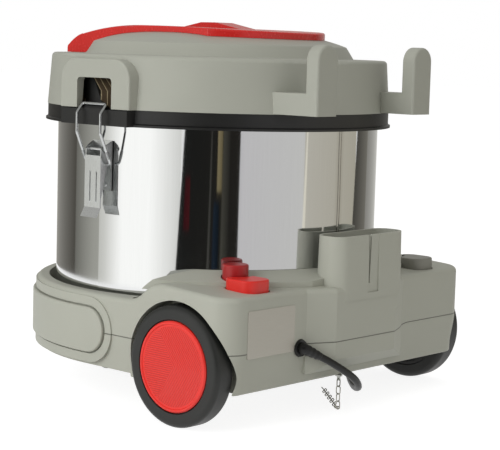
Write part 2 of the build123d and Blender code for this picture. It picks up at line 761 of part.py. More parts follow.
# ================================================================ front casters, trailing to the rear
caster_crown_z = caster_wheel_radius * 2 + 1.5
for side, sign in SIDES:
    caster_plane = Plane(
        origin=(sign * caster_x, caster_y + caster_trail, caster_wheel_radius), x_dir=(0, 1, 0), z_dir=(1, 0, 0)
    )
    cheek_in = caster_wheel_width / 2 + moving_gap

    with BuildPart() as caster_fork:
        with BuildSketch(Plane.XY.offset(caster_crown_z)):
            with Locations((sign * caster_x, caster_y)):
                Circle(cheek_in + caster_cheek_thick)
        extrude(amount=caster_crown_thick)
        with BuildSketch(Plane.XY.offset(caster_crown_z + caster_crown_thick - 0.1)):
            with Locations((sign * caster_x, caster_y)):
                Circle(caster_stem_radius)
        extrude(amount=bottom_front_z + caster_stem_length - caster_crown_z - caster_crown_thick)
        with BuildSketch(caster_plane.offset(cheek_in)) as cheek:
            with BuildLine():
                top = caster_crown_z + caster_crown_thick - caster_wheel_radius
                Polyline(
                    (-caster_trail - 6, top), (-caster_trail + 8, top), (6, 2), (4, -5), (-4, -5),
                    (-caster_trail - 6, top - caster_crown_thick), close=True,
                )
            make_face()
        extrude(amount=caster_cheek_thick)
        mirror(about=Plane.YZ.offset(sign * caster_x))
        with BuildSketch(caster_plane):
            Circle(caster_pin_radius)
        extrude(amount=cheek_in + caster_cheek_thick, both=True, mode=Mode.SUBTRACT)
    caster_fork.part.label = f"caster_fork_{side}"
    export_step(caster_fork.part, f"parts/caster_fork_{side}.step")

    with BuildPart() as caster_pin:
        with BuildSketch(caster_plane):
            Circle(caster_pin_radius)
        extrude(amount=cheek_in + caster_cheek_thick, both=True)
    caster_pin.part.label = f"caster_pin_{side}"
    export_step(caster_pin.part, f"parts/caster_pin_{side}.step")

    with BuildPart() as caster_wheel:
        with BuildSketch(caster_plane):
            Circle(caster_wheel_radius)
        extrude(amount=caster_wheel_width / 2, both=True)
        fillet(caster_wheel.edges(), 2.5)
        with BuildSketch(caster_plane):
            Circle(caster_pin_radius + shaft_gap)
        extrude(amount=caster_wheel_width, both=True, mode=Mode.SUBTRACT)
        for face_side in (1, -1):
            with BuildSketch(caster_plane.offset(face_side * (caster_wheel_width / 2 - 1.5))):
                Circle(caster_wheel_radius - 4.5)
                Circle(caster_pin_radius + 3.5, mode=Mode.SUBTRACT)
            extrude(amount=face_side * 2, mode=Mode.SUBTRACT)
    caster_wheel.part.label = f"caster_wheel_{side}"
    export_step(caster_wheel.part, f"parts/caster_wheel_{side}.step")

# ================================================================ foot buttons with their springs
buttons = (
    ("pedal_left", 1, pedal_stem, pedal_top_z, pedal_travel),
    ("pedal_right", -1, pedal_stem, pedal_top_z, pedal_travel),
    ("knob_left", 1, knob_centre, knob_top_z, knob_travel),
    ("knob_right", -1, knob_centre, knob_top_z, knob_travel),
)


def button_plan(name, sign, inset):
    """Plan of one foot button, moved inwards by inset."""
    with BuildSketch() as plan:
        if name.startswith("pedal"):
            with Locations((sign * pedal_centre[0], pedal_centre[1])):
                RectangleRounded(
                    pedal_size[0] - 2 * inset, pedal_size[1] - 2 * inset, pedal_corner - inset
                )
            with Locations((sign * knob_centre[0], knob_centre[1])):
                Circle(pedal_notch + inset, mode=Mode.SUBTRACT)
        else:
            with Locations((sign * knob_centre[0], knob_centre[1])):
                Circle(knob_radius - inset)
    return plan.sketch


spring_radius = button_stem_radius + 3.0
spring_height = spring_head_z - well_floor_z - spring_wire
for name, sign, stem, top_z, travel in buttons:
    place = (sign * stem[0], stem[1])
    skirt_z = well_floor_z + travel + moving_gap

    with BuildPart() as button:
        with BuildSketch(Plane.XY.offset(skirt_z)):
            add(button_plan(name, sign, 0))
        extrude(amount=top_z - skirt_z)
        fillet(button.faces().sort_by(Axis.Z)[-1].edges(), button_round)
        with BuildSketch(Plane.XY.offset(skirt_z)):
            add(button_plan(name, sign, button_wall))
        extrude(amount=spring_head_z - skirt_z, mode=Mode.SUBTRACT)
        with BuildSketch(Plane.XY.offset(stem_foot_z)):
            with Locations(place):
                Circle(button_stem_radius)
        extrude(amount=spring_head_z - stem_foot_z)
    button.part.label = name
    export_step(button.part, f"parts/{name}.step")

    with BuildPart() as spring:
        with BuildLine():
            Helix(
                pitch=spring_height / spring_turns,
                height=spring_height,
                radius=spring_radius,
                center=(place[0], place[1], well_floor_z + spring_wire / 2),
            )
        spring_start = (place[0] + spring_radius, place[1], well_floor_z + spring_wire / 2)
        with BuildSketch(Plane(origin=spring_start, z_dir=(0, 1, 0))):
            RegularPolygon(spring_wire / 2, wire_sides)
        sweep(is_frenet=True)
    spring.part.label = f"{name}_spring"
    export_step(spring.part, f"parts/{name}_spring.step")


with BuildPart() as foot_switches:
    with BuildSketch(Plane.XY.offset(seam_z)):
        with Locations(switch_places):
            Rectangle(*switch_size)
    extrude(amount=switch_top_z - seam_z)
foot_switches.part.label = "foot_switches"
export_step(foot_switches.part, "parts/foot_switches.step")

# ================================================================ tank
inlet_plane = Plane(origin=(0, 0, inlet_z), x_dir=(1, 0, 0), z_dir=(0, -1, 0))
with BuildPart() as tank:
    with BuildSketch(Plane.XZ):
        with BuildLine():
            inner = tank_radius - tank_wall
            foot = tank_foot_radius
            Line((0, tank_floor_z), (tank_radius - foot, tank_floor_z))
            RadiusArc((tank_radius - foot, tank_floor_z), (tank_radius, tank_floor_z + foot), -foot)
            Polyline(
                (tank_radius, tank_floor_z + foot), (tank_radius, tank_top_z - rim_height),
                (tank_radius + rim_bead, tank_top_z - rim_height + 1),
                (tank_radius + rim_bead, tank_top_z - 0.8),
                (tank_radius + rim_bead - 0.8, tank_top_z), (inner, tank_top_z),
                (inner, tank_floor_z + foot),
            )
            RadiusArc((inner, tank_floor_z + foot), (tank_radius - foot, tank_floor_z + tank_wall), foot - tank_wall)
            Polyline((tank_radius - foot, tank_floor_z + tank_wall), (0, tank_floor_z + tank_wall), (0, tank_floor_z))
        make_face()
    revolve(axis=Axis.Z)
    with BuildSketch(inlet_plane):
        Circle(inlet_spigot_radius + seat_gap)
        with PolarLocations(inlet_screw_circle, 4, start_angle=45):
            Circle(inlet_screw_hole)
    extrude(amount=tank_radius + 5, mode=Mode.SUBTRACT)
tank.part.label = "tank"
export_step(tank.part, "parts/tank.step")

with BuildPart() as hose_inlet:
    with BuildSketch(inlet_plane.offset(-inlet_inner_end)):
        Circle(inlet_flange_radius)
    extrude(amount=inlet_flange_depth)
    with BuildSketch(inlet_plane.offset(-inlet_inner_end)):
        Circle(inlet_collar_radius)
    extrude(amount=inlet_inner_end - inlet_front)
    fillet(hose_inlet.edges().filter_by(GeomType.CIRCLE).sort_by(Axis.Y)[0], 2.0)
    with BuildSketch(Plane.XY.offset(tank_floor_z)):
        Circle(tank_radius + inlet_gasket_thick + seat_gap)
    extrude(amount=tank_top_z - tank_floor_z, mode=Mode.SUBTRACT)
    with BuildSketch(inlet_plane.offset(-inlet_inner_end)):
        Circle(inlet_spigot_radius)
    extrude(amount=inlet_inner_end - inlet_front - inlet_lock_depth)
    with BuildSketch(inlet_plane.offset(-inlet_inner_end)):
        Circle(inlet_bore)
    extrude(amount=inlet_inner_end - inlet_front, mode=Mode.SUBTRACT)
    # entry of the two bayonet tracks in the mouth
    with BuildSketch(inlet_plane.offset(-inlet_front - inlet_lock_depth)):
        Circle(inlet_spigot_radius + 1.5)
    extrude(amount=inlet_lock_depth, mode=Mode.SUBTRACT)
    with BuildSketch(inlet_plane.offset(-inlet_inner_end)):
        with PolarLocations(inlet_screw_circle, 4, start_angle=45):
            Circle(inlet_screw_hole)
    extrude(amount=inlet_inner_end - inlet_front, mode=Mode.SUBTRACT)
hose_inlet.part.label = "hose_inlet"
export_step(hose_inlet.part, "parts/hose_inlet.step")

with BuildPart() as inlet_gasket:
    with BuildSketch(inlet_plane.offset(-inlet_inner_end)):
        Circle(inlet_flange_radius - 0.5)
        Circle(inlet_spigot_radius + seat_gap, mode=Mode.SUBTRACT)
        with PolarLocations(inlet_screw_circle, 4, start_angle=45):
            Circle(inlet_screw_hole, mode=Mode.SUBTRACT)
    extrude(amount=inlet_flange_depth)
    with BuildSketch(Plane.XY.offset(tank_floor_z)):
        Circle(tank_radius + inlet_gasket_thick)
    extrude(amount=tank_top_z - tank_floor_z, mode=Mode.INTERSECT)
    with BuildSketch(Plane.XY.offset(tank_floor_z)):
        Circle(tank_radius + seat_gap / 2)
    extrude(amount=tank_top_z - tank_floor_z, mode=Mode.SUBTRACT)
inlet_gasket.part.label = "inlet_gasket"
export_step(inlet_gasket.part, "parts/inlet_gasket.step")

with BuildPart() as inlet_screws:
    with BuildSketch(inlet_plane.offset(-inlet_inner_end + inlet_flange_depth + seat_gap / 2)):
        with PolarLocations(inlet_screw_circle, 4, start_angle=45):
            Circle(inlet_screw_head)
    extrude(amount=2.0)
    with BuildSketch(inlet_plane.offset(tank_radius - 1.5)):
        with PolarLocations(inlet_screw_circle, 4, start_angle=45):
            Circle(inlet_screw_hole - seat_gap)
    extrude(amount=-inlet_inner_end + inlet_flange_depth + seat_gap - tank_radius + 1.5)
inlet_screws.part.label = "inlet_screws"
export_step(inlet_screws.part, "parts/inlet_screws.step")

# ================================================================ wire latches on both sides of the tank
bracket_back_x = tank_radius + seat_gap
bracket_face_x = bracket_back_x + bracket_thick
latch_plane = Plane.XZ.offset(-latch_y)

with BuildPart() as latch_pins:
    with BuildSketch(latch_plane):
        with Locations((latch_pivot_x, latch_pivot_z), (-latch_pivot_x, latch_pivot_z)):
            Circle(latch_pin_radius)
    extrude(amount=bracket_half + 1.2, both=True)
latch_pins.part.label = "latch_pins"
export_step(latch_pins.part, "parts/latch_pins.step")

with BuildPart() as latch_rivets:
    for sign in (1, -1):
        with BuildSketch(Plane(origin=(sign * bracket_face_x, latch_y, 0), x_dir=(0, sign, 0), z_dir=(sign, 0, 0))):
            with Locations(rivet_places):
                Circle(rivet_radius)
        extrude(amount=rivet_height)
    rivet_faces = latch_rivets.faces().filter_by(Axis.X)
    fillet(
        rivet_faces.filter_by(lambda face: abs(face.center().X) > bracket_face_x + rivet_height / 2).edges(),
        rivet_height * 0.6,
    )
latch_rivets.part.label = "latch_rivets"
export_step(latch_rivets.part, "parts/latch_rivets.step")

for side, sign in SIDES:
    # side view of the latch: x outwards from the tank, y up
    latch_section = Plane(origin=(0, latch_y, 0), x_dir=(sign, 0, 0), z_dir=(0, -sign, 0))

    with BuildPart() as latch_bracket:
        with BuildSketch(latch_section):
            with BuildLine():
                Polyline(
                    (bracket_back_x, bracket_foot_z), (bracket_face_x, bracket_foot_z),
                    (bracket_face_x, bracket_top_z), (bracket_back_x, bracket_top_z), close=True,
                )
            make_face()
        extrude(amount=bracket_half, both=True)
        with BuildSketch(latch_section.offset(bracket_half - bracket_thick)):
            with BuildLine():
                Polyline(
                    (bracket_back_x, latch_pivot_z - 9), (latch_pivot_x, latch_pivot_z - 3.6),
                    (latch_pivot_x + 3.6, latch_pivot_z), (latch_pivot_x, latch_pivot_z + 3.6),
                    (bracket_back_x, bracket_top_z), close=True,
                )
            make_face()
        extrude(amount=bracket_thick)
        mirror(about=latch_section)
        with BuildSketch(latch_section):
            with Locations((latch_pivot_x, latch_pivot_z)):
                Circle(latch_pin_radius)
        extrude(amount=bracket_half + 1, both=True, mode=Mode.SUBTRACT)
    latch_bracket.part.label = f"latch_bracket_{side}"
    export_step(latch_bracket.part, f"parts/latch_bracket_{side}.step")

    with BuildPart() as latch_lever:
        # front plate with its flared thumb tab
        with BuildSketch(latch_section):
            with BuildLine():
                Polyline(
                    (lever_plate_x, latch_pivot_z - 6), (lever_plate_x + lever_thick, latch_pivot_z - 6),
                    (lever_plate_x + lever_thick, lever_foot_z + 9),
                    (lever_plate_x + lever_thick + lever_flare, lever_foot_z),
                    (lever_plate_x + lever_flare, lever_foot_z),
                    (lever_plate_x, lever_foot_z + 9), close=True,
                )
            make_face()
        extrude(amount=lever_half, both=True)
        # side flanges with the eyes on the pivot pin
        with BuildSketch(latch_section.offset(lever_half - lever_thick)):
            with BuildLine():
                Polyline(
                    (lever_plate_x + lever_thick / 2, lever_foot_z + 14),
                    (lever_plate_x + lever_thick / 2, latch_pivot_z),
                    (latch_pivot_x, latch_pivot_z + 4), (latch_pivot_x - 3.4, latch_pivot_z),
                    (bail_foot_x - 3, bail_foot_z), (bail_foot_x, bail_foot_z - 4), close=True,
                )
            make_face()
        extrude(amount=lever_thick)
        mirror(about=latch_section)
        # two pressed ribs, the cut-out at the top and the eyes
        with BuildSketch(Plane(origin=(sign * (lever_plate_x + lever_thick), latch_y, 0), x_dir=(0, sign, 0),
                               z_dir=(sign, 0, 0))):
            with Locations((-4.4, 212.0), (4.4, 212.0)):
                SlotOverall(rib_length, rib_width, rotation=90)
        extrude(amount=0.7)
        with BuildSketch(latch_section):
            with Locations((latch_pivot_x, latch_pivot_z)):
                Circle(latch_pin_radius + shaft_gap)
            with Locations((bail_foot_x, bail_foot_z)):
                Circle(bail_wire + shaft_gap)
        extrude(amount=lever_half + 1, both=True, mode=Mode.SUBTRACT)
    latch_lever.part.label = f"latch_lever_{side}"
    export_step(latch_lever.part, f"parts/latch_lever_{side}.step")

    # bail: one bent wire, its two feet in the lever's eyes and its top over the keeper
    with BuildPart() as latch_bail:
        with BuildLine() as wire:
            y_in = lever_half - lever_thick - 1.5
            points = [
                (sign * bail_foot_x, latch_y + y_in, bail_foot_z),
                (sign * bail_foot_x, latch_y + bail_half, bail_foot_z),
                (sign * bail_belly_x, latch_y + bail_half, bail_foot_z + 30),
                (sign * bail_belly_x, latch_y + bail_half, bail_top_z - 9),
                (sign * bail_top_x, latch_y + bail_half, bail_top_z),
                (sign * bail_top_x, latch_y - bail_half, bail_top_z),
                (sign * bail_belly_x, latch_y - bail_half, bail_top_z - 9),
                (sign * bail_belly_x, latch_y - bail_half, bail_foot_z + 30),
                (sign * bail_foot_x, latch_y - bail_half, bail_foot_z),
                (sign * bail_foot_x, latch_y - y_in, bail_foot_z),
            ]
            FilletPolyline(*points, radius=bail_bend)
        with BuildSketch(Plane(origin=points[0], z_dir=(0, 1, 0))):
            Circle(bail_wire)
        sweep()
    latch_bail.part.label = f"latch_bail_{side}"
    export_step(latch_bail.part, f"parts/latch_bail_{side}.step")

# ================================================================ head: black band with the latch keepers
with BuildPart() as head_band:
    with BuildSketch(Plane.XZ):
        with BuildLine():
            Polyline(
                (band_inner_radius, band_bottom_z), (band_radius + band_lip, band_bottom_z),
                (band_radius + band_lip, band_bottom_z + band_lip_height),
                (band_radius, band_bottom_z + band_lip_height + 1),
                (band_radius, band_top_z), (motor_cup_radius, band_top_z),
                (motor_cup_radius, motor_cup_foot_z),
                (motor_intake_radius, motor_cup_foot_z),
                (motor_intake_radius, motor_cup_foot_z - motor_cup_wall),
                (motor_cup_radius + motor_cup_wall, motor_cup_foot_z - motor_cup_wall),
                (motor_cup_radius + motor_cup_wall, band_top_z - deck_plate_thick),
                (band_inner_radius, band_top_z - deck_plate_thick), close=True,
            )
        make_face()
    revolve(axis=Axis.Z)
    for side, sign in SIDES:
        with BuildSketch(Plane.XY.offset(band_bottom_z)):
            with Locations((sign * (block_face_x + band_inner_radius - 6) / 2, latch_y)):
                Rectangle(block_face_x - band_inner_radius + 6, 2 * block_half)
            Circle(band_inner_radius, mode=Mode.SUBTRACT)
        extrude(amount=band_top_z - band_bottom_z - 1)
        with BuildSketch(Plane(origin=(0, latch_y, 0), x_dir=(sign, 0, 0), z_dir=(0, -sign, 0))):
            with BuildLine():
                Polyline(
                    (keeper_nose_x - 9, band_top_z - 2), (block_face_x, band_top_z - 2),
                    (block_face_x, keeper_top_z - keeper_nose_drop), (keeper_nose_x, keeper_top_z),
                    (keeper_nose_x - 2, keeper_top_z), (keeper_nose_x - 5, band_top_z),
                    (keeper_nose_x - 9, band_top_z),
                    close=True,
                )
            make_face()
        extrude(amount=keeper_half, both=True)
    with BuildSketch(Plane.XY.offset(band_top_z - deck_plate_thick)):
        with PolarLocations(head_screw_circle, 4, start_angle=45):
            Circle(screw_radius + seat_gap)
    extrude(amount=deck_plate_thick, mode=Mode.SUBTRACT)
head_band.part.label = "head_band"
export_step(head_band.part, "parts/head_band.step")

with BuildPart() as tank_gasket:
    with BuildSketch(Plane.XY.offset(tank_top_z + seat_gap / 2)):
        Circle(tank_radius + 2)
        Circle(tank_radius - 5, mode=Mode.SUBTRACT)
    extrude(amount=band_top_z - deck_plate_thick - tank_top_z - seat_gap)
tank_gasket.part.label = "tank_gasket"
export_step(tank_gasket.part, "parts/tank_gasket.step")

# ================================================================ head: grey shell with the rear hooks
with BuildPart() as head_shell:
    with BuildSketch(Plane.XZ) as shell_profile:
        with BuildLine():
            Line((0, band_top_z), (skirt_radius, band_top_z))
            Line((skirt_radius, band_top_z), (skirt_top_radius, shoulder_z))
            Line((skirt_top_radius, shoulder_z), (tier_foot_radius, shoulder_z))
            Line((tier_foot_radius, shoulder_z), (tier_top_radius, tier_top_z))
            ThreePointArc(
                (tier_top_radius, tier_top_z), ((tier_top_radius + dome_radius_xy) / 2, dome_mid_z),
                (dome_radius_xy, dome_edge_z),
            )
            Line((dome_radius_xy, dome_edge_z), (dome_radius_xy - 4, crown_z))
            Line((dome_radius_xy - 4, crown_z), (0, crown_z))
            Line((0, crown_z), (0, band_top_z))
        make_face()
        fillet(shell_profile.vertices().sort_by_distance((skirt_top_radius, shoulder_z, 0))[0], shoulder_round)
        fillet(shell_profile.vertices().sort_by_distance((tier_foot_radius, shoulder_z, 0))[0], tier_foot_round)
        fillet(shell_profile.vertices().sort_by_distance((tier_top_radius, tier_top_z, 0))[0], 3.0)
    revolve(axis=Axis.Z)
    for side, sign in SIDES:
        with BuildSketch(Plane(origin=(sign * (skirt_radius - 14), latch_y, 0), x_dir=(0, sign, 0),
                               z_dir=(sign, 0, 0))) as pad:
            with Locations((0, (band_top_z + pad_top_z) / 2)):
                Rectangle(2 * pad_half, pad_top_z - band_top_z)
            fillet(pad.vertices().group_by(Axis.Y)[-1], pad_corner)
        extrude(amount=14 + pad_proud)
    pad_faces = head_shell.faces().filter_by(Axis.X).filter_by(lambda face: abs(face.center().X) > skirt_radius)
    pad_edges = pad_faces.edges().filter_by(lambda edge: edge.center().Z > band_top_z + 1)
    fillet(pad_edges, radius=pad_proud * 0.7)
    # hollow inside, following the outside
    with BuildSketch(Plane.XZ):
        with BuildLine():
            wall = skirt_wall
            Polyline(
                (0, band_top_z), (skirt_radius - wall, band_top_z),
                (skirt_top_radius - wall, shoulder_z - wall),
                (tier_foot_radius - wall, shoulder_z - wall), (tier_top_radius - wall, tier_top_z - wall),
                (dome_radius_xy + 1, dome_edge_z - wall - 1),
                (dome_radius_xy - 2, crown_z - wall), (0, crown_z - wall),
                close=True,
            )
        make_face()
    revolve(axis=Axis.Z, mode=Mode.SUBTRACT)
    # latch windows
    with BuildSketch(Plane(origin=(0, latch_y, 0), x_dir=(0, 1, 0), z_dir=(1, 0, 0))) as window:
        with Locations((0, (window_top_z + band_top_z) / 2 - 5)):
            Rectangle(2 * window_half, window_top_z - band_top_z + 10)
        fillet(window.vertices().group_by(Axis.Y)[-1], 4.0)
    extrude(amount=skirt_radius + 2 * pad_proud, both=True, mode=Mode.SUBTRACT)
    # hooks: an arm straight back from the skirt and an upright with a round top
    for side, sign in SIDES:
        with BuildSketch(Plane.XY.offset(hook_foot_z)):
            with Locations((sign * hook_x, (hook_rear + skirt_radius * 0.8) / 2)):
                Rectangle(hook_width, hook_rear - skirt_radius * 0.8)
            Circle(skirt_radius - skirt_wall / 2, mode=Mode.SUBTRACT)
        extrude(amount=hook_arm_top_z - hook_foot_z)
        with BuildSketch(Plane.XZ.offset(-hook_rear)):
            with Locations((sign * hook_x, (hook_foot_z + hook_top_z) / 2)):
                RectangleRounded(hook_width, hook_top_z - hook_foot_z, hook_width / 2 - 0.5)
            with Locations((sign * hook_x, (hook_foot_z + hook_arm_top_z) / 2)):
                Rectangle(hook_width, hook_arm_top_z - hook_foot_z)
        extrude(amount=hook_thick)
    hook_edges = head_shell.edges().filter_by(
        lambda edge: edge.center().Z > hook_arm_top_z + 2 and edge.center().Y > hook_rear - hook_thick - 1
    )
    fillet(hook_edges, radius=hook_round)
    with BuildSketch(Plane.XY.offset(band_top_z)):
        with PolarLocations(head_screw_circle, 4, start_angle=45):
            Circle(screw_boss_radius)
    extrude(amount=shoulder_z - skirt_wall / 2 - band_top_z)
    with BuildSketch(Plane.XY.offset(band_top_z)):
        with PolarLocations(head_screw_circle, 4, start_angle=45):
            Circle(screw_radius + shaft_gap)
    extrude(amount=head_screw_bite, mode=Mode.SUBTRACT)
head_shell.part.label = "head_shell"
export_step(head_shell.part, "parts/head_shell.step")

with BuildPart() as head_screws:
    with BuildSketch(Plane.XY.offset(band_top_z - deck_plate_thick - screw_head_thick)):
        with PolarLocations(head_screw_circle, 4, start_angle=45):
            Circle(screw_head_radius)
    extrude(amount=screw_head_thick)
    with BuildSketch(Plane.XY.offset(band_top_z - deck_plate_thick)):
        with PolarLocations(head_screw_circle, 4, start_angle=45):
            Circle(screw_radius)
    extrude(amount=deck_plate_thick + head_screw_bite - seat_gap)
head_screws.part.label = "head_screws"
export_step(head_screws.part, "parts/head_screws.step")

# ================================================================ head: red cover with its carrying hump
with BuildPart() as head_cover:
    # side view of the cover: a long crowned back, steep at the front, with the hump near the rear
    with BuildSketch(Plane.YZ.offset(-cover_half_width)):
        with BuildLine():
            brow = ThreePointArc(cover_toe, cover_brow, cover_peak)
            back = TangentArc(cover_peak, cover_tail, tangent=(1, 0))
            Polyline(back @ 1, (cover_tail[0], shoulder_z), (cover_toe[0], shoulder_z), brow @ 0)
        make_face()
    extrude(amount=2 * cover_half_width)
    with BuildSketch(Plane.XY.offset(shoulder_z)):
        with BuildLine():
            side_line = Line((cover_half_width, -120), (cover_half_width, cover_rear - 48))
            rear_arc = ThreePointArc(side_line @ 1, (0, cover_rear), (-cover_half_width, cover_rear - 48))
            other_line = Line(rear_arc @ 1, (-cover_half_width, -120))
            ThreePointArc(other_line @ 1, (0, cover_front), side_line @ 0)
        make_face()
    extrude(amount=60, mode=Mode.INTERSECT)
    top_edges = head_cover.edges().filter_by(lambda edge: edge.center().Z > shoulder_z + 8)
    fillet(top_edges, radius=cover_round)
    # hand well with the grip ridge left standing along its middle
    with BuildSketch(Plane.XY.offset(crown_z + well_floor_thick)):
        with Locations((0, (grip_front + grip_rear) / 2)):
            RectangleRounded(2 * hand_well_half, grip_rear - grip_front - 2 * grip_root, hand_well_half / 2)
    extrude(amount=hump_top_z - crown_z, mode=Mode.SUBTRACT)
    with BuildSketch(Plane.YZ.offset(-grip_half)) as ridge:
        with BuildLine():
            Polyline(
                (grip_front, crown_z + 1), (grip_front, hump_foot_z), (hump_peak_y - 12, hump_top_z),
                (hump_peak_y + 8, hump_top_z), (grip_rear, hump_foot_z),
                (grip_rear, crown_z + 1), close=True,
            )
        make_face()
        fillet(ridge.vertices().group_by(Axis.Y)[-1], 6.0)
    extrude(amount=2 * grip_half)
    with BuildSketch(Plane.XZ):
        with BuildLine():
            Polyline(
                (0, band_top_z), (skirt_radius, band_top_z), (skirt_radius, shoulder_z + cover_gap),
                (tier_foot_radius + tier_foot_round, shoulder_z + cover_gap),
                (tier_foot_radius + cover_gap, shoulder_z + tier_foot_round),
                (tier_top_radius + cover_gap, tier_top_z),
            )
            ThreePointArc(
                (tier_top_radius + cover_gap, tier_top_z),
                ((tier_top_radius + dome_radius_xy) / 2, dome_mid_z + cover_gap),
                (dome_radius_xy, dome_edge_z + cover_gap),
            )
            Polyline(
                (dome_radius_xy, dome_edge_z + cover_gap), (dome_radius_xy - 4, crown_z + cover_gap),
                (0, crown_z + cover_gap), (0, band_top_z),
            )
        make_face()
    revolve(axis=Axis.Z, mode=Mode.SUBTRACT)
head_cover.part.label = "head_cover"
export_step(head_cover.part, "parts/head_cover.step")

# ================================================================ head: motor in its cup, filter below it
with BuildPart() as lower_damper:
    with BuildSketch(Plane.XY.offset(motor_cup_foot_z)):
        Circle(fan_case_radius - 2)
        Circle(motor_intake_radius + 6, mode=Mode.SUBTRACT)
    extrude(amount=damper_thick)
lower_damper.part.label = "lower_damper"
export_step(lower_damper.part, "parts/lower_damper.step")

case_foot_z = motor_cup_foot_z + damper_thick
with BuildPart() as motor_case:
    with BuildSketch(Plane.XZ):
        with BuildLine():
            wall = fan_case_wall
            Polyline(
                (motor_intake_radius, case_foot_z), (fan_case_radius, case_foot_z),
                (fan_case_radius, fan_case_top_z),
                (stator_radius + wall, fan_case_top_z), (stator_radius + wall, stator_top_z + wall),
                (bearing_radius, stator_top_z + wall), (bearing_radius, stator_top_z - bearing_thick),
                (bearing_radius + wall, stator_top_z - bearing_thick),
                (bearing_radius + wall, stator_top_z),
                (stator_radius, stator_top_z), (stator_radius, fan_case_top_z - wall),
                (fan_case_radius - wall, fan_case_top_z - wall),
                (fan_case_radius - wall, case_foot_z + wall),
                (motor_intake_radius, case_foot_z + wall), close=True,
            )
        make_face()
    revolve(axis=Axis.Z)
    # bridge that carries the lower bearing, with openings for the air
    with BuildSketch(Plane.XY.offset(fan_top_z + 3)):
        Circle(stator_radius + wall)
        Circle(bearing_radius, mode=Mode.SUBTRACT)
        with PolarLocations((stator_radius + bearing_radius) / 2 + 2, 6):
            Circle(8.5, mode=Mode.SUBTRACT)
    extrude(amount=bearing_thick)
    with BuildSketch(Plane.XY.offset(fan_top_z + 3)):
        Circle(stator_radius + wall)
        Circle(stator_radius, mode=Mode.SUBTRACT)
    extrude(amount=fan_case_top_z - fan_top_z - 3)
    with BuildSketch(Plane(origin=(0, 0, (fan_case_top_z + fan_top_z + 3) / 2 + 3), x_dir=(1, 0, 0), z_dir=(0, 1, 0))):
        Circle(3.0)
    extrude(amount=fan_case_radius + 5, both=True, mode=Mode.SUBTRACT)
    # exhaust windows round the casing
    with BuildSketch(Plane.XY.offset(case_foot_z + wall + 4)):
        with PolarLocations(fan_case_radius, 8):
            Rectangle(12, 18)
    extrude(amount=14, mode=Mode.SUBTRACT)
motor_case.part.label = "motor_case"
export_step(motor_case.part, "parts/motor_case.step")

with BuildPart() as motor_stator:
    with BuildSketch(Plane.XY.offset(fan_case_top_z + 2)):
        Circle(stator_radius - seat_gap)
        Circle(stator_bore, mode=Mode.SUBTRACT)
    extrude(amount=stator_top_z - fan_case_top_z - 12)
motor_stator.part.label = "motor_stator"
export_step(motor_stator.part, "parts/motor_stator.step")

with BuildPart() as motor_bearings:
    for bearing_z in (fan_top_z + 3, stator_top_z - bearing_thick):
        with BuildSketch(Plane.XY.offset(bearing_z)):
            Circle(bearing_radius)
            Circle(shaft_radius + shaft_gap, mode=Mode.SUBTRACT)
        extrude(amount=bearing_thick)
motor_bearings.part.label = "motor_bearings"
export_step(motor_bearings.part, "parts/motor_bearings.step")

with BuildPart() as motor_rotor:
    with BuildSketch(Plane.XY.offset(shaft_foot_z)):
        Circle(shaft_radius)
    extrude(amount=shaft_top_z - shaft_foot_z)
    with BuildSketch(Plane.XY.offset(fan_case_top_z + 4)):
        Circle(armature_radius)
    extrude(amount=stator_top_z - fan_case_top_z - 16)
motor_rotor.part.label = "motor_rotor"
export_step(motor_rotor.part, "parts/motor_rotor.step")

with BuildPart() as fan_wheel:
    with BuildSketch(Plane.XY.offset(fan_top_z - 1.2)):
        Circle(fan_radius)
    extrude(amount=1.2)
    with BuildSketch(Plane.XY.offset(fan_foot_z)):
        Circle(fan_radius)
        Circle(motor_intake_radius - 3, mode=Mode.SUBTRACT)
    extrude(amount=1.2)
    with BuildSketch(Plane.XY.offset(fan_foot_z + 0.6)):
        with PolarLocations(0, fan_blades):
            with BuildLine():
                blade = ThreePointArc((motor_intake_radius - 1, 0), (44, 9), (fan_radius - 1, 6))
                offset(blade, amount=0.6)
            make_face()
    extrude(amount=fan_top_z - fan_foot_z - 1.2)
    with BuildSketch(Plane.XY.offset(fan_foot_z)):
        Circle(shaft_radius + 5)
    extrude(amount=fan_top_z - fan_foot_z)
    with BuildSketch(Plane.XY.offset(fan_foot_z)):
        Circle(shaft_radius)
    extrude(amount=fan_top_z - fan_foot_z, mode=Mode.SUBTRACT)
fan_wheel.part.label = "fan_wheel"
export_step(fan_wheel.part, "parts/fan_wheel.step")

with BuildPart() as exhaust_filter:
    with BuildSketch(Plane.XY.offset(band_top_z + seat_gap)):
        Circle(exhaust_inner + exhaust_depth)
        Circle(exhaust_inner, mode=Mode.SUBTRACT)
    extrude(amount=exhaust_top_z - band_top_z)
exhaust_filter.part.label = "exhaust_filter"
export_step(exhaust_filter.part, "parts/exhaust_filter.step")

with BuildPart() as filter_basket:
    with BuildSketch(Plane.XY.offset(basket_foot_z)):
        Circle(basket_radius)
    extrude(amount=band_top_z - deck_plate_thick - basket_foot_z)
    with BuildSketch(Plane.XY.offset(basket_foot_z + basket_wall)):
        Circle(basket_radius - basket_wall)
    extrude(amount=band_top_z - basket_foot_z, mode=Mode.SUBTRACT)
    with BuildSketch(Plane.XY.offset(basket_foot_z + 14)):
        with PolarLocations(basket_radius, basket_windows):
            Rectangle(4 * basket_wall, 2 * pi * basket_radius / basket_windows - 12)
    extrude(amount=band_top_z - basket_foot_z - 30, mode=Mode.SUBTRACT)
    with BuildSketch(Plane.XY.offset(basket_foot_z)):
        with PolarLocations(basket_radius * 0.55, 6):
            SlotOverall(basket_radius * 0.6, 22)
    extrude(amount=basket_wall, mode=Mode.SUBTRACT)
filter_basket.part.label = "filter_basket"
export_step(filter_basket.part, "parts/filter_basket.step")

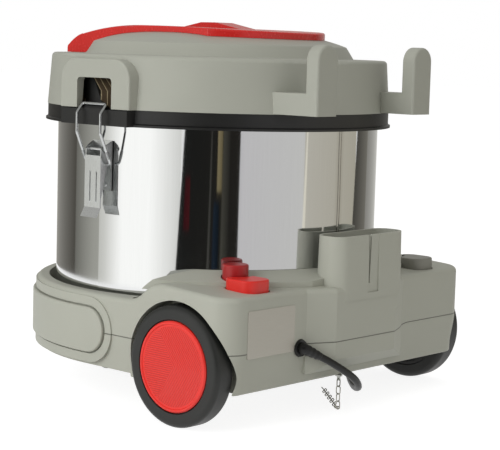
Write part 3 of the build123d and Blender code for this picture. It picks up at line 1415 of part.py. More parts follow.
with BuildPart() as cloth_filter:
    with BuildSketch(Plane.XY.offset(basket_foot_z - cloth_gap - cloth_thick)):
        Circle(basket_radius + cloth_gap + cloth_thick)
    extrude(amount=cloth_top_z - basket_foot_z + cloth_gap + cloth_thick)
    with BuildSketch(Plane.XY.offset(basket_foot_z - cloth_gap)):
        Circle(basket_radius + cloth_gap)
    extrude(amount=cloth_top_z - basket_foot_z + cloth_gap, mode=Mode.SUBTRACT)
cloth_filter.part.label = "cloth_filter"
export_step(cloth_filter.part, "parts/cloth_filter.step")

# ================================================================ cord, plug and antistatic chain
with BuildPart() as cord_gland:
    gland_plane = Plane(origin=(gland_x, base_rear, gland_z), x_dir=(1, 0, 0), z_dir=(0, 1, 0))
    with BuildSketch(gland_plane.offset(-base_wall - 0.5)):
        Circle(gland_hole)
    extrude(amount=base_wall + 1)
    with BuildSketch(gland_plane.offset(seat_gap)):
        Circle(gland_flange)
    extrude(amount=2.0, taper=20)
    with BuildSketch(gland_plane.offset(seat_gap)):
        Circle(cord_radius + 2.2)
    extrude(amount=cord_points[0][1] - base_rear - seat_gap, taper=8)
cord_gland.part.label = "cord_gland"
export_step(cord_gland.part, "parts/cord_gland.step")


def bend_radii(points):
    """Radius of each bend: 0.45 of the shorter run beside it over the tangent of half the turn."""
    radii = []
    for before, at, after in zip(points, points[1:], points[2:]):
        run_in = Vector(*at) - Vector(*before)
        run_out = Vector(*after) - Vector(*at)
        turn = radians(run_in.get_angle(run_out))
        radii.append(0.45 * min(run_in.length, run_out.length) / tan(turn / 2))
    return radii


with BuildPart() as cord_tube:
    cord_radii = bend_radii(cord_points)
    with BuildLine():
        cord_route = FilletPolyline(*cord_points, radius=cord_radii)
    with BuildSketch(Plane(origin=cord_route @ 0, z_dir=cord_route % 0)):
        Circle(cord_radius)
    sweep()
cord_tube.part.label = "cord_tube"
export_step(cord_tube.part, "parts/cord_tube.step")
print("cord bend radii", [round(radius, 1) for radius in cord_radii])
cord_volume = pi * cord_radius**2 * cord_route.length
print("cord run", round(cord_route.length, 1), "volume over section times run", cord_tube.part.volume / cord_volume)

coil_section = Plane(origin=(*coil_centre, 0), x_dir=(1, 0, 0), z_dir=(0, -1, 0))
with BuildPart() as cord_coil:
    with BuildSketch(coil_section):
        with Locations((coil_mid_radius, coil_height / 2 + coil_lift)):
            RectangleRounded(coil_width, coil_height, coil_corner)
    revolve(axis=Axis((*coil_centre, 0), (0, 0, 1)))
cord_coil.part.label = "cord_coil"
export_step(cord_coil.part, "parts/cord_coil.step")

# plug beside the coil, its tail in line with the outermost turn of the coil's top layer
plug_x = coil_centre[0] + coil_mid_radius + coil_width / 2 - cord_radius
plug_plane = Plane(
    origin=(plug_x, coil_centre[1] - plug_tail_start, plug_radius + coil_lift), x_dir=(1, 0, 0), z_dir=(0, -1, 0)
)
turn_height = coil_height - cord_radius - plug_radius
with BuildPart() as plug:
    with BuildSketch(plug_plane):
        with Locations((0, turn_height)):
            Circle(cord_radius + plug_tail_wall)
    with BuildSketch(plug_plane.offset(plug_tail)):
        Circle(plug_radius * plug_neck)
    loft()
    with BuildSketch(plug_plane.offset(plug_tail)):
        Circle(plug_radius * plug_neck)
    with BuildSketch(plug_plane.offset(plug_tail + plug_length / 2)):
        Circle(plug_radius)
    loft()
    with BuildSketch(plug_plane.offset(plug_tail + plug_length / 2)):
        Circle(plug_radius)
    extrude(amount=plug_length / 2)
    with BuildSketch(plug_plane.offset(plug_tail + plug_length)):
        with Locations((plug_pin_pitch / 2, 0), (-plug_pin_pitch / 2, 0)):
            Circle(plug_pin_radius)
    extrude(amount=plug_pin_length)
    with BuildSketch(plug_plane.offset(plug_tail + plug_length / 2)):
        with Locations((0, plug_radius), (0, -plug_radius)):
            Rectangle(plug_groove[0], plug_groove[1])
    extrude(amount=plug_length / 2, mode=Mode.SUBTRACT)
plug.part.label = "plug"
export_step(plug.part, "parts/plug.step")

# chain: hangs from its screw to the floor, then lies on the floor towards the front
pitch = link_length - 2 * link_wire - link_gap
chain_top_z = chain_low_z + link_length / 2 + chain_hanging * pitch
with BuildPart() as chain_screw:
    with BuildSketch(Plane.XY.offset(bottom_rear_z - chain_screw_thick)):
        with Locations((chain_x, chain_y)):
            Circle(chain_screw_radius)
    extrude(amount=chain_screw_thick - seat_gap / 2)
    # eye below the head; the first link passes through it
    eye_height = bottom_rear_z - chain_screw_thick - chain_top_z - link_length / 2
    with BuildSketch(Plane(origin=(chain_x, chain_y, 0), x_dir=(0, 1, 0), z_dir=(1, 0, 0))):
        with Locations((0, chain_top_z + link_length / 2 + eye_height / 2 - link_wire)):
            Rectangle(2 * chain_screw_thick, eye_height + 4 * link_wire)
        with Locations((0, chain_top_z + (link_length - link_wire) / 2)):
            Circle(link_wire, mode=Mode.SUBTRACT)
    extrude(amount=link_wire, both=True)
chain_screw.part.label = "chain_screw"
export_step(chain_screw.part, "parts/chain_screw.step")

link_places = []
for step in range(chain_links):
    if step <= chain_hanging:
        centre = (chain_x, chain_y, chain_top_z - step * pitch)
        link_places.append(Plane(origin=centre, x_dir=(0, 0, 1), z_dir=(step % 2, 1 - step % 2, 0)))
    else:
        along = (step - chain_hanging - 1) * pitch + (link_length - link_wire) / 2
        centre = (chain_x + chain_run[0] * along, chain_y + chain_run[1] * along, chain_lie_z)
        lean = 0 if step == chain_hanging + 1 else 1 - 2 * (step % 2)
        across = (-lean * chain_run[1], lean * chain_run[0], 1)
        link_places.append(Plane(origin=centre, x_dir=(*chain_run, 0), z_dir=across))
with BuildPart() as antistatic_chain:
    for place in link_places:
        with BuildSketch(place):
            SlotOverall(link_length, link_width)
            SlotOverall(link_length - 2 * link_wire, link_width - 2 * link_wire, mode=Mode.SUBTRACT)
        extrude(amount=link_wire / 2, both=True)
antistatic_chain.part.label = "antistatic_chain"
export_step(antistatic_chain.part, "parts/antistatic_chain.step")
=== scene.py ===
import json
from math import cos, pi, radians, sin, sqrt

import bmesh
import bpy
from bpy.props import FloatProperty, FloatVectorProperty, PointerProperty
from mathutils import Matrix, Vector


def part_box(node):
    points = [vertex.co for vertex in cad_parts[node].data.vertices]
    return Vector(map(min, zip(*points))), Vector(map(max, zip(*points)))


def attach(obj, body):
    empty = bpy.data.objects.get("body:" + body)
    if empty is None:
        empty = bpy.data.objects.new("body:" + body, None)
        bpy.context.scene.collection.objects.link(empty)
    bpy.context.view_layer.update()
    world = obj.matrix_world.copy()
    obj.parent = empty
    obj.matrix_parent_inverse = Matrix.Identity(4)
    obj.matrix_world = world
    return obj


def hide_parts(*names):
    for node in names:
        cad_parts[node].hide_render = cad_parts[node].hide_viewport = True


bl_info = {
    "name": "Canister vacuum finish",
    "version": (1, 0, 0),
    "blender": (4, 5, 0),
    "location": "3D View > Sidebar > Vacuum",
    "description": "Finishes, mains lead and small trim of a canister vacuum, built round its packed solids",
    "category": "Object",
}

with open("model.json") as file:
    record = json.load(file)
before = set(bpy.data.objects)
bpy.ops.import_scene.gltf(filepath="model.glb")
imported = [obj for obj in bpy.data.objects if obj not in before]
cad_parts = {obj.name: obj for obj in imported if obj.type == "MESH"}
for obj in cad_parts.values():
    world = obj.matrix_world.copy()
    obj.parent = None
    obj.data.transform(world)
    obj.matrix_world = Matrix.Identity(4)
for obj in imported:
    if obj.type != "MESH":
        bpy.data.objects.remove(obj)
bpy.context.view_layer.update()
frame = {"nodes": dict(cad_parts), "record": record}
nodes = frame["nodes"]
MM = 0.001   # a size written with it is in metres; other sizes of pieces are in millimetres
TANK_RADIUS = 165 * MM
HEAT_TINT_REACH = 0.04                   # radians from the weld to where its heat tint ends
WHEEL_CENTRE = (126.3 * MM, 56.7 * MM)   # y and z of the rear axle
CAP_GROOVES_RADIUS = 37 * MM             # the wheel caps' grooves end here, inside the smooth rim
SEAM_HEIGHT = 74 * MM
SEAM_RISE = 3 * MM                       # how much higher the seam runs past the rear swelling
SEAM_STEP = (-86 * MM, -64 * MM)         # x of the two ends of that step
SEAM_CORE, SEAM_EDGE = 0.25 * MM, 0.7 * MM   # half widths of the seam's dark core and of its soft edge


def srgb(code):
    """Linear colour of an sRGB hex value."""
    channels = [int(code[i:i + 2], 16) / 255 for i in (1, 3, 5)]
    return [c / 12.92 if c <= 0.04045 else ((c + 0.055) / 1.055) ** 2.4 for c in channels]


def colour(name, code, description):
    """A colour that the sidebar shows."""
    return FloatVectorProperty(
        name=name, description=description, subtype="COLOR", size=3, min=0, max=1, default=srgb(code)
    )


def length(name, millimetres, description):
    """A length that the sidebar shows."""
    return FloatProperty(
        name=name, description=description, unit="LENGTH", precision=4, default=millimetres * MM
    )


def angle(name, degrees, description):
    """An angle that the sidebar shows."""
    return FloatProperty(name=name, description=description, subtype="ANGLE", default=radians(degrees))


class VacuumColours(bpy.types.PropertyGroup):
    trolley: colour("Trolley", "#AEAFA3", "Moulded trolley and bumper panel")
    head: colour("Head", "#A5A69B", "Moulded motor head")
    band: colour("Band", "#0F0F0E", "Black ring between head and tank")
    cover: colour("Cover", "#D0211C", "Red top cover")
    button: colour("Red pedal", "#E0241A", "Pedal on the red side")
    # painted shade: the knob's red is a darker copy of the pedal's, for the shade it sits in between the
    # pedal and the tank
    knob: colour("Red knob", "#A5171A", "Round button on the red side")
    cap: colour("Wheel cap", "#EA2B20", "Caps of the rear wheels")
    grey_button: colour("Grey buttons", "#85847B", "Buttons on the grey side")
    tyre: colour("Tyre", "#1B1C1A", "Rubber of the tyres")
    steel: colour("Tank", "#DCDDDD", "Polished tank")
    lead: colour("Mains lead", "#080807", "Lead, gland and plug")
    plate: colour("Bare plate", "#B4B0A6", "Bare plate on the trolley's rear")
    pleats: colour("Pleats", "#5E5140", "Paper of the exhaust filter")
    felt: colour("Felt", "#D8D5C8", "Cloth filter in the tank")


class VacuumSizes(bpy.types.PropertyGroup):
    lead_diameter: length("Lead", 7, "Diameter of the mains lead")
    relief_length: length("Strain relief", 26, "Length of the lead's tapered sleeve")
    weld_width: length("Weld", 4.6, "Width of the tank's weld bead")
    plate_thickness: length("Plate", 0.5, "How far the bare plate stands out")
    groove_pitch: length("Grooves", 2.0, "Spacing of the grooves in the wheel caps")
    pleat_pitch: length("Pleats", 8.6, "Spacing of the exhaust filter's pleats at their tips")
    grain: length("Grain", 1.1, "Grain of the eroded mould surfaces, drawn coarse enough to show")


class VacuumStage(bpy.types.PropertyGroup):
    azimuth: angle("Azimuth", 131.895, "Direction of view about the vertical")
    pitch: angle("Pitch", 6.448, "How far the camera looks down")
    roll: angle("Roll", -1.655, "Tilt of the camera about its axis")
    distance: length("Distance", 1655.567, "From the camera to the point it looks at")
    aim_right: length("Aim right", 35.915, "How far right of the tank's axis the camera looks")
    aim_height: length("Aim height", 163.939, "Height of the point that the camera looks at")
    lens: FloatProperty(name="Lens", description="Focal length", unit="CAMERA", default=113.93)


# ---------------------------------------------------------------- materials
def add_node(tree, kind, values=None, links=None, **settings):
    """Adds a node: its own settings, constants for its inputs, and the sockets linked to them."""
    node = tree.nodes.new(kind)
    for key, value in settings.items():
        setattr(node, key, value)
    for key, value in (values or {}).items():
        node.inputs[key].default_value = value
    for key, socket in (links or {}).items():
        tree.links.new(socket, node.inputs[key])
    return node


class Finish:
    """A new material: its constants go straight onto the shader, its patterns follow the place in metres."""

    def __init__(self, name, tint, metallic=0.0, roughness=0.5, **inputs):
        self.material = bpy.data.materials.new(name)
        self.material.use_nodes = True
        self.tree = self.material.node_tree
        self.shader = self.tree.nodes["Principled BSDF"]
        self.tint = tint
        self.shader.inputs["Base Color"].default_value = (*tint, 1)
        self.shader.inputs["Metallic"].default_value = metallic
        self.shader.inputs["Roughness"].default_value = roughness
        for key, value in inputs.items():
            self.shader.inputs[key.replace("_", " ")].default_value = value
        self.place = add_node(self.tree, "ShaderNodeTexCoord").outputs["Object"]
        self.axes = self.height = None

    def noise(self, feature, detail=2.0, stretch=(1, 1, 1)):
        """Noise whose features are that long, stretched along the axes."""
        scale = [1 / (feature * s) for s in stretch]
        scaled = add_node(self.tree, "ShaderNodeMapping", {"Scale": scale}, {"Vector": self.place})
        return add_node(
            self.tree, "ShaderNodeTexNoise", {"Scale": 1.0, "Detail": detail},
            {"Vector": scaled.outputs["Vector"]},
        ).outputs["Fac"]

    def math(self, operation, *terms, **settings):
        """One sum on sockets and numbers."""
        node = add_node(self.tree, "ShaderNodeMath", operation=operation, **settings)
        for socket, term in zip(node.inputs, terms):
            if isinstance(term, (int, float)):
                socket.default_value = term
            else:
                self.tree.links.new(term, socket)
        return node.outputs[0]

    def axis(self, letter):
        """The place along X, Y or Z."""
        if self.axes is None:
            self.axes = add_node(self.tree, "ShaderNodeSeparateXYZ", None, {"Vector": self.place})
        return self.axes.outputs[letter]

    def ramp(self, value, start, end, first, last, **settings):
        """Runs from first to last while a value runs from start to end."""
        spans = {"From Min": start, "From Max": end, "To Min": first, "To Max": last}
        node = add_node(self.tree, "ShaderNodeMapRange", spans, {"Value": value}, **settings)
        return node.outputs["Result"]

    def between(self, low, high, factor, target):
        """Lets an input of the shader run from low to high with factor."""
        self.tree.links.new(self.ramp(factor, 0.0, 1.0, low, high), self.shader.inputs[target])

    def shade(self, other, factor):
        """Blends the colour so far towards another one by factor."""
        mix = add_node(self.tree, "ShaderNodeMix", data_type="RGBA")
        first, second, blend = mix.inputs[6], mix.inputs[7], mix.inputs[0]
        colour_in = self.shader.inputs["Base Color"]
        if colour_in.is_linked:
            self.tree.links.new(colour_in.links[0].from_socket, first)
        else:
            first.default_value = (*self.tint, 1)
        second.default_value = (*other, 1)
        self.tree.links.new(factor, blend)
        self.tree.links.new(mix.outputs[2], colour_in)

    def raise_by(self, height, depth):
        """Raises the surface by depth where height is one, on top of what is raised already."""
        links = {"Height": height}
        if self.height:
            links["Normal"] = self.height
        bump = add_node(self.tree, "ShaderNodeBump", {"Distance": depth, "Strength": 1.0}, links)
        self.height = bump.outputs["Normal"]
        self.tree.links.new(self.height, self.shader.inputs["Normal"])


def darker(tint, amount):
    """A tint taken down by that share."""
    return [c * (1 - amount) for c in tint]


def moulded(name, tint, grain, roughness=0.5, depth=0.03 * MM, **inputs):
    """Injection-moulded polypropylene or ABS from an eroded mould: matt, with a fine even grain
    and a faint drift of shade where the melt cooled at different rates."""
    finish = Finish(name, tint, roughness=roughness, IOR=1.49, **inputs)
    finish.shade(darker(tint, 0.08), finish.noise(70 * MM))
    grains = finish.noise(grain, 3.0)
    finish.raise_by(grains, depth)
    finish.between(roughness - 0.05, roughness + 0.07, grains, "Roughness")
    return finish


def shell_moulding(name, tint, grain):
    """The trolley's polypropylene, with the fine shadow line where its two half shells meet: the line runs
    level round the sides and steps up beyond the swelling at the rear."""
    finish = moulded(name, tint, grain, 0.52)
    step = finish.ramp(finish.axis("X"), *SEAM_STEP, SEAM_RISE, 0.0, interpolation_type="SMOOTHSTEP")
    level = finish.math("ADD", step, SEAM_HEIGHT)
    away = finish.math("ABSOLUTE", finish.math("SUBTRACT", finish.axis("Z"), level))
    line = finish.ramp(away, SEAM_CORE, SEAM_EDGE, 0.72, 0.0)
    finish.shade(srgb("#35352F"), line)
    finish.raise_by(line, -0.5 * MM)
    return finish


def glossy_moulding(name, tint, roughness=0.28):
    """Polished-mould ABS: a clear sharp sheen over a strong colour, with a slow ripple of sink marks."""
    finish = Finish(name, tint, roughness=roughness, IOR=1.53)
    finish.shade(darker(tint, 0.1), finish.noise(45 * MM))
    finish.raise_by(finish.noise(28 * MM, 1.0), 0.12 * MM)
    finish.between(roughness - 0.04, roughness + 0.08, finish.noise(3 * MM), "Roughness")
    return finish


def rubber(name, tint, roughness=0.62):
    """Moulded rubber: dark and matt, with dusty greyer patches and a fine pitted skin."""
    finish = Finish(name, tint, roughness=roughness, IOR=1.42)
    finish.shade([min(1, c * 1.5 + 0.006) for c in tint], finish.noise(22 * MM, 4.0))
    finish.raise_by(finish.noise(0.8 * MM, 3.0), 0.03 * MM)
    return finish


def plated(name, tint, roughness, scratch=2.5):
    """Stamped or drawn steel with a bright zinc or nickel plate: a hard sheen broken by fine drawing
    lines."""
    finish = Finish(name, tint, metallic=1.0, roughness=roughness)
    lines = finish.noise(0.35 * MM, 2.0, (1, 1, 30))
    finish.between(roughness, roughness + 0.14, lines, "Roughness")
    finish.shade(darker(tint, 0.12), finish.noise(scratch * MM, 2.0))
    finish.raise_by(lines, 0.002 * MM)
    return finish


def polished_tank(tint, weld_at):
    """Stainless sheet polished to a mirror: it shows the room, slightly drawn out by the rolling of the
    sheet, and goes duller and browner in the heat tint beside the weld."""
    finish = Finish("polished_stainless_sheet", tint, metallic=1.0, roughness=0.05)
    finish.raise_by(finish.noise(30 * MM, 1.0, (1, 1, 5)), 0.03 * MM)
    streaks = finish.noise(1.2 * MM, 3.0, (1, 1, 45))
    finish.between(0.035, 0.075, streaks, "Roughness")
    finish.shade(darker(tint, 0.05), streaks)
    round_tank = finish.math("ARCTAN2", finish.axis("Y"), finish.axis("X"))
    from_weld = finish.math("ABSOLUTE", finish.math("SUBTRACT", round_tank, weld_at))
    finish.shade(srgb("#8F8676"), finish.ramp(from_weld, 0.0, HEAT_TINT_REACH, 0.3, 0.0))
    return finish


def grooved_cap(tint, pitch, sign):
    """Red ABS wheel cap whose mould was cut with fine grooves in three fans that fold into each other;
    the folds catch the light and the rim stays smooth."""
    finish = glossy_moulding(f"grooved_red_cap_{'left' if sign > 0 else 'right'}", tint, 0.38)
    across = finish.math("MULTIPLY", finish.math("SUBTRACT", finish.axis("Y"), WHEEL_CENTRE[0]), sign)
    up = finish.math("SUBTRACT", finish.axis("Z"), WHEEL_CENTRE[1])
    squares = finish.math("ADD", finish.math("MULTIPLY", across, across), finish.math("MULTIPLY", up, up))
    reach = finish.math("SQRT", squares)
    turn = finish.math("ARCTAN2", up, across)
    fan = finish.math("WRAP", finish.math("ADD", turn, pi / 3), pi / 3, -pi / 3)
    offset = finish.math("MULTIPLY", finish.math("SINE", fan), reach)
    wave = finish.math("COSINE", finish.math("MULTIPLY", offset, 2 * pi / pitch))
    inside = finish.math("LESS_THAN", reach, CAP_GROOVES_RADIUS)
    groove = finish.math("MULTIPLY", finish.math("MAXIMUM", wave, 0.0), inside)
    finish.raise_by(groove, 0.3 * MM)
    # painted shade: the lines of the groove pattern are painted darker so that the grooves show
    finish.shade(darker(tint, 0.35), finish.math("MULTIPLY", groove, 0.8))
    return finish


def pleated_paper(tint):
    """Resin-bonded filter paper: fibrous and matt, with a painted highlight in pale cream along the outer
    tips of the folds.
    """
    finish = Finish("pleated_filter_paper", tint, roughness=0.85, IOR=1.4)
    finish.shade([min(1, c * 1.8) for c in tint], finish.noise(0.7 * MM, 5.0, (1, 1, 4)))
    fold = add_node(finish.tree, "ShaderNodeAttribute", attribute_name="fold")
    # painted highlight: the outer tip of each fold is painted pale cream
    finish.shade(srgb("#D9C8A0"), fold.outputs["Fac"])
    finish.raise_by(finish.noise(0.6 * MM, 4.0), 0.06 * MM)
    return finish


def needle_felt(tint):
    """Needled polyester felt: soft and matt, with tangled fibres and the even prick marks of the needles."""
    finish = Finish("needled_polyester_felt", tint, roughness=0.95, IOR=1.45, Sheen_Weight=0.35)
    finish.shade(darker(tint, 0.22), finish.noise(2.2 * MM, 6.0))
    pricks = add_node(
        finish.tree, "ShaderNodeTexVoronoi", {"Scale": 1 / (2.5 * MM)}, {"Vector": finish.place}
    )
    finish.raise_by(pricks.outputs["Distance"], 0.35 * MM)
    return finish


def laminations(tint):
    """Stack of punched electrical steel: dark blue-grey sheets, each edge a fine horizontal line."""
    finish = Finish("motor_core_laminations", tint, metallic=0.8, roughness=0.45)
    sheets = finish.math("SINE", finish.math("MULTIPLY", finish.axis("Z"), 2 * pi / (1.5 * MM)))
    finish.shade(darker(tint, 0.5), finish.math("MAXIMUM", sheets, 0.0))
    finish.raise_by(sheets, 0.08 * MM)
    return finish


def foil_plate(tint):
    """Bare anodised aluminium foil: pale, with a brushed grain along its length."""
    finish = Finish("brushed_foil_plate", tint, metallic=0.35, roughness=0.42)
    brushed = finish.noise(0.25 * MM, 3.0, (60, 1, 1))
    finish.shade(darker(tint, 0.14), brushed)
    finish.between(0.34, 0.52, brushed, "Roughness")
    return finish


def oxide_scale():
    """Heat scale on steel beside a weld: a dark brown crust, dull and pitted, that frames the bead."""
    finish = Finish("weld_edge_scale", srgb("#3B352D"), metallic=0.4, roughness=0.55)
    finish.raise_by(finish.noise(0.6 * MM, 3.0), 0.03 * MM)
    return finish


def sheathed_lead(tint):
    """Extruded PVC sheath: black with a soft long highlight and the faint twist of the cores below it."""
    finish = Finish("pvc_lead_sheath", tint, roughness=0.42, IOR=1.4)
    finish.shade([c * 1.5 + 0.002 for c in tint], finish.noise(9 * MM, 4.0))
    finish.raise_by(finish.noise(11 * MM, 1.0), 0.12 * MM)
    return finish


def slot_finishes(colours, sizes, weld_at):
    """Every finish by the name of the record's slot that it dresses."""
    grain = sizes.grain
    return {
        "grey_moulding": moulded("grey_polypropylene_moulding", colours.trolley, grain, 0.52),
        "head_grey": moulded("grey_abs_moulding", colours.head, grain, 0.46),
        "black_band": glossy_moulding("satin_black_abs", colours.band, 0.42),
        "red_cover": glossy_moulding("red_abs_cover", colours.cover, 0.24),
        "polished_tank": polished_tank(colours.steel, weld_at),
        "inlet_plastic": moulded("black_glass_filled_nylon", srgb("#232322"), grain, 0.5),
        "seal_rubber": rubber("seal_rubber", srgb("#20201F"), 0.7),
        "red_button": glossy_moulding("red_abs_pedal", colours.button, 0.34),
        "grey_button": moulded("grey_abs_button", colours.grey_button, grain, 0.45),
        "spring_steel": plated("oiled_spring_steel", srgb("#8D8C88"), 0.3),
        "zinc_screws": plated("zinc_plated_screws", srgb("#B8B9B4"), 0.28),
        "axle_steel": plated("drawn_axle_steel", srgb("#9FA0A0"), 0.25),
        "tyre_rubber": rubber("tyre_rubber", colours.tyre, 0.46),
        "wheel_black": moulded("black_polypropylene_moulding", srgb("#242423"), grain, 0.55),
        "red_cap": grooved_cap(colours.cap, sizes.groove_pitch, 1),
        "switch_plastic": moulded("cream_switch_nylon", srgb("#D9D4C4"), grain, 0.4),
        "latch_plate": plated("nickel_plated_stamping", srgb("#E2E4E4"), 0.22, 9.0),
        "latch_wire": plated("stainless_spring_wire", srgb("#C4C6C6"), 0.16),
        "damper_rubber": rubber("damper_foam_rubber", srgb("#2A2A28"), 0.8),
        "motor_housing": moulded("black_motor_housing", srgb("#2B2B2A"), grain, 0.5),
        "motor_core": laminations(srgb("#6F7478")),
        "fan_metal": plated("pressed_aluminium_fan", srgb("#C9CBCC"), 0.32),
        "filter_paper": pleated_paper(colours.pleats),
        "basket_plastic": moulded("grey_basket_polypropylene", srgb("#6B6C68"), grain, 0.5),
        "filter_cloth": needle_felt(colours.felt),
        "cord_black": sheathed_lead(colours.lead),
        "chain_metal": plated("nickel_plated_chain", srgb("#A9A79E"), 0.3),
    }


finishes = {}


# ---------------------------------------------------------------- meshes
def new_piece(name, vertices, faces, body, slot_name, smooth=True):
    """A mesh that rides on a body and takes a slot's finish."""
    mesh = bpy.data.meshes.new(name)
    mesh.from_pydata([tuple(v) for v in vertices], [], faces)
    builder = bmesh.new()
    builder.from_mesh(mesh)
    bmesh.ops.recalc_face_normals(builder, faces=builder.faces)
    builder.to_mesh(mesh)
    builder.free()
    mesh.polygons.foreach_set("use_smooth", [smooth] * len(mesh.polygons))
    piece = bpy.data.objects.new(name, mesh)
    bpy.context.scene.collection.objects.link(piece)
    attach(piece, body)
    piece.data.materials.append(finishes[slot_name].material)
    return piece


def quads(rows, columns, ring=False, first=0):
    """Faces between rows of points that follow each other; in a ring each row's ends meet."""
    faces = []
    for i in range(rows - 1):
        a, b = first + i * columns, first + (i + 1) * columns
        for j in range(columns if ring else columns - 1):
            k = (j + 1) % columns
            faces.append((a + j, a + k, b + k, b + j))
    return faces


def tube_along(points, radii, sides):
    """Vertices and faces of a round tube with closed ends that follows points, with a radius at each."""
    vertices = []
    across = None
    for i, (at, radius) in enumerate(zip(points, radii)):
        ahead = (points[min(i + 1, len(points) - 1)] - points[max(i - 1, 0)]).normalized()
        across = ahead.orthogonal() if across is None else across - ahead * across.dot(ahead)
        across.normalize()
        third = ahead.cross(across)
        for j in range(sides):
            turn = 2 * pi * j / sides
            vertices.append(at + radius * (across * cos(turn) + third * sin(turn)))
    faces = quads(len(points), sides, ring=True)
    last = (len(points) - 1) * sides
    faces.append(tuple(range(sides - 1, -1, -1)))
    faces.append(tuple(last + j for j in range(sides)))
    return vertices, faces


def polar(radius, turn, height):
    """A point round the tank's axis."""
    return Vector((radius * cos(turn), radius * sin(turn), height))


# ---------------------------------------------------------------- mains lead
LEAD_ROUTE = [
    (83.0, 195.0, 71.0), (66.0, 203.5, 62.0), (45.0, 209.5, 49.5), (24.0, 211.5, 36.5),
    (9.0, 204.0, 25.5), (-8.0, 187.0, 19.5), (-36.0, 161.0, 14.5), (-74.0, 127.0, 10.5),
    (-116.0, 92.0, 6.8), (-160.0, 58.0, 4.6), (-196.0, 12.0, 3.8), (-202.4, -17.4, 3.8),
]
COIL_CENTRE = (-262.0, -62.0)
COIL_OUTER = 70.0         # middle of the outermost turn
COIL_TURNS_PER_LAYER = 5
COIL_LAYERS = 4
COIL_FIRST_ANGLE = 14.0   # degrees, where the lead joins the coil; it winds clockwise from there
COIL_LAST_ANGLE = -2.0    # degrees, where it leaves the coil for the plug
COIL_FLOOR_HEIGHT = 3.8   # middle of the lead in the lowest layer
LAYER_STEP = 0.18         # share of a turn in which the lead climbs to the next layer
POINTS_PER_TURN = 18
PLUG_TAIL = [(-192.3, -80.0, 24.8), (-192.2, -92.0, 24.8), (-192.0, -98.0, 24.4)]
SLEEVE_START = 10 * MM    # the strain relief starts that far inside the wall
SLEEVE_THICK, SLEEVE_THIN, SLEEVE_RING = 6.0 * MM, 3.75 * MM, 0.25 * MM   # radii, and how far a ring swells


def coil_points(diameter):
    """Middle of the lead through the coil's turns: each layer spirals in or out, then steps up a diameter."""
    pitch = diameter / MM
    points = []
    turns = COIL_TURNS_PER_LAYER * COIL_LAYERS
    exit_turns = (COIL_FIRST_ANGLE - COIL_LAST_ANGLE) / 360
    steps = round((turns + exit_turns) * POINTS_PER_TURN)
    swell = 1 / cos(pi / POINTS_PER_TURN)
    for i in range(steps + 1):
        done = i / POINTS_PER_TURN
        layer = min(int(done / COIL_TURNS_PER_LAYER), COIL_LAYERS - 1)
        along = done - layer * COIL_TURNS_PER_LAYER
        inward = layer % 2 == 0
        wound = min(along, COIL_TURNS_PER_LAYER) if inward else max(COIL_TURNS_PER_LAYER - along, 0)
        radius = (COIL_OUTER - pitch * wound) * swell
        to_step = max(0.0, along - COIL_TURNS_PER_LAYER + LAYER_STEP) / LAYER_STEP
        climb = min(to_step, 1.0) if layer < COIL_LAYERS - 1 else 0.0
        height = COIL_FLOOR_HEIGHT + pitch * (layer + climb * climb * (3 - 2 * climb))
        turn = radians(COIL_FIRST_ANGLE) - 2 * pi * done
        points.append((COIL_CENTRE[0] + radius * cos(turn), COIL_CENTRE[1] + radius * sin(turn), height))
    return points


def spline_line(curve_data):
    """The curve's own line as vectors, read from Blender."""
    bare = curve_data.copy()
    bare.bevel_depth = 0
    holder = bpy.data.objects.new("lead_line", bare)
    mesh = bpy.data.meshes.new_from_object(holder)
    line = [v.co.copy() for v in mesh.vertices]
    bpy.data.meshes.remove(mesh)
    bpy.data.objects.remove(holder)
    bpy.data.curves.remove(bare)
    return line


class VACUUM_OT_mains_lead(bpy.types.Operator):
    """Mains lead from its gland, wound into its coil and on to the plug, with the strain relief"""

    bl_idname = "vacuum.mains_lead"
    bl_label = "Mains lead"

    def execute(self, context):
        sizes = context.scene.vacuum_sizes
        data = bpy.data.curves.new("mains_lead", "CURVE")
        data.dimensions = "3D"
        points = LEAD_ROUTE + coil_points(sizes.lead_diameter) + PLUG_TAIL
        spline = data.splines.new("NURBS")
        spline.points.add(len(points) - 1)
        for target, point in zip(spline.points, points):
            target.co = (point[0] * MM, point[1] * MM, point[2] * MM, 1)
            # Blender widens a curve's box by its points' radius, so that is the lead's and the bevel is one
            target.radius = sizes.lead_diameter / 2
        spline.order_u = 3
        spline.use_endpoint_u = True
        spline.resolution_u = 6
        line = spline_line(data)
        data.bevel_depth = 1.0
        data.bevel_resolution = 5
        data.use_fill_caps = True
        lead = bpy.data.objects.new("mains_lead", data)
        context.scene.collection.objects.link(lead)
        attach(lead, "trolley")
        data.materials.append(finishes["cord_black"].material)
        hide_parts("cord_tube", "cord_coil")

        # tapered sleeve: it starts inside the wall and thins out along the lead, with soft rings
        inside = Vector((line[0].x, line[0].y - SLEEVE_START, line[0].z))
        route, reach = [inside, line[0]], SLEEVE_START
        for before, at in zip(line, line[1:]):
            if reach >= sizes.relief_length:
                break
            reach += (at - before).length
            route.append(at)
        dense = []
        for before, at in zip(route, route[1:]):
            dense += [before.lerp(at, i / 6) for i in range(6)]
        dense.append(route[-1])
        count = len(dense) - 1
        radii = []
        for i in range(count + 1):
            ring = SLEEVE_RING * cos(2 * pi * i / 5) if i < count - 2 else 0
            radii.append(SLEEVE_THICK + (SLEEVE_THIN - SLEEVE_THICK) * i / count + ring)
        vertices, faces = tube_along(dense, radii, 24)
        sleeve = new_piece("strain_relief", vertices, faces, "trolley", "cord_black")
        return {"FINISHED"}


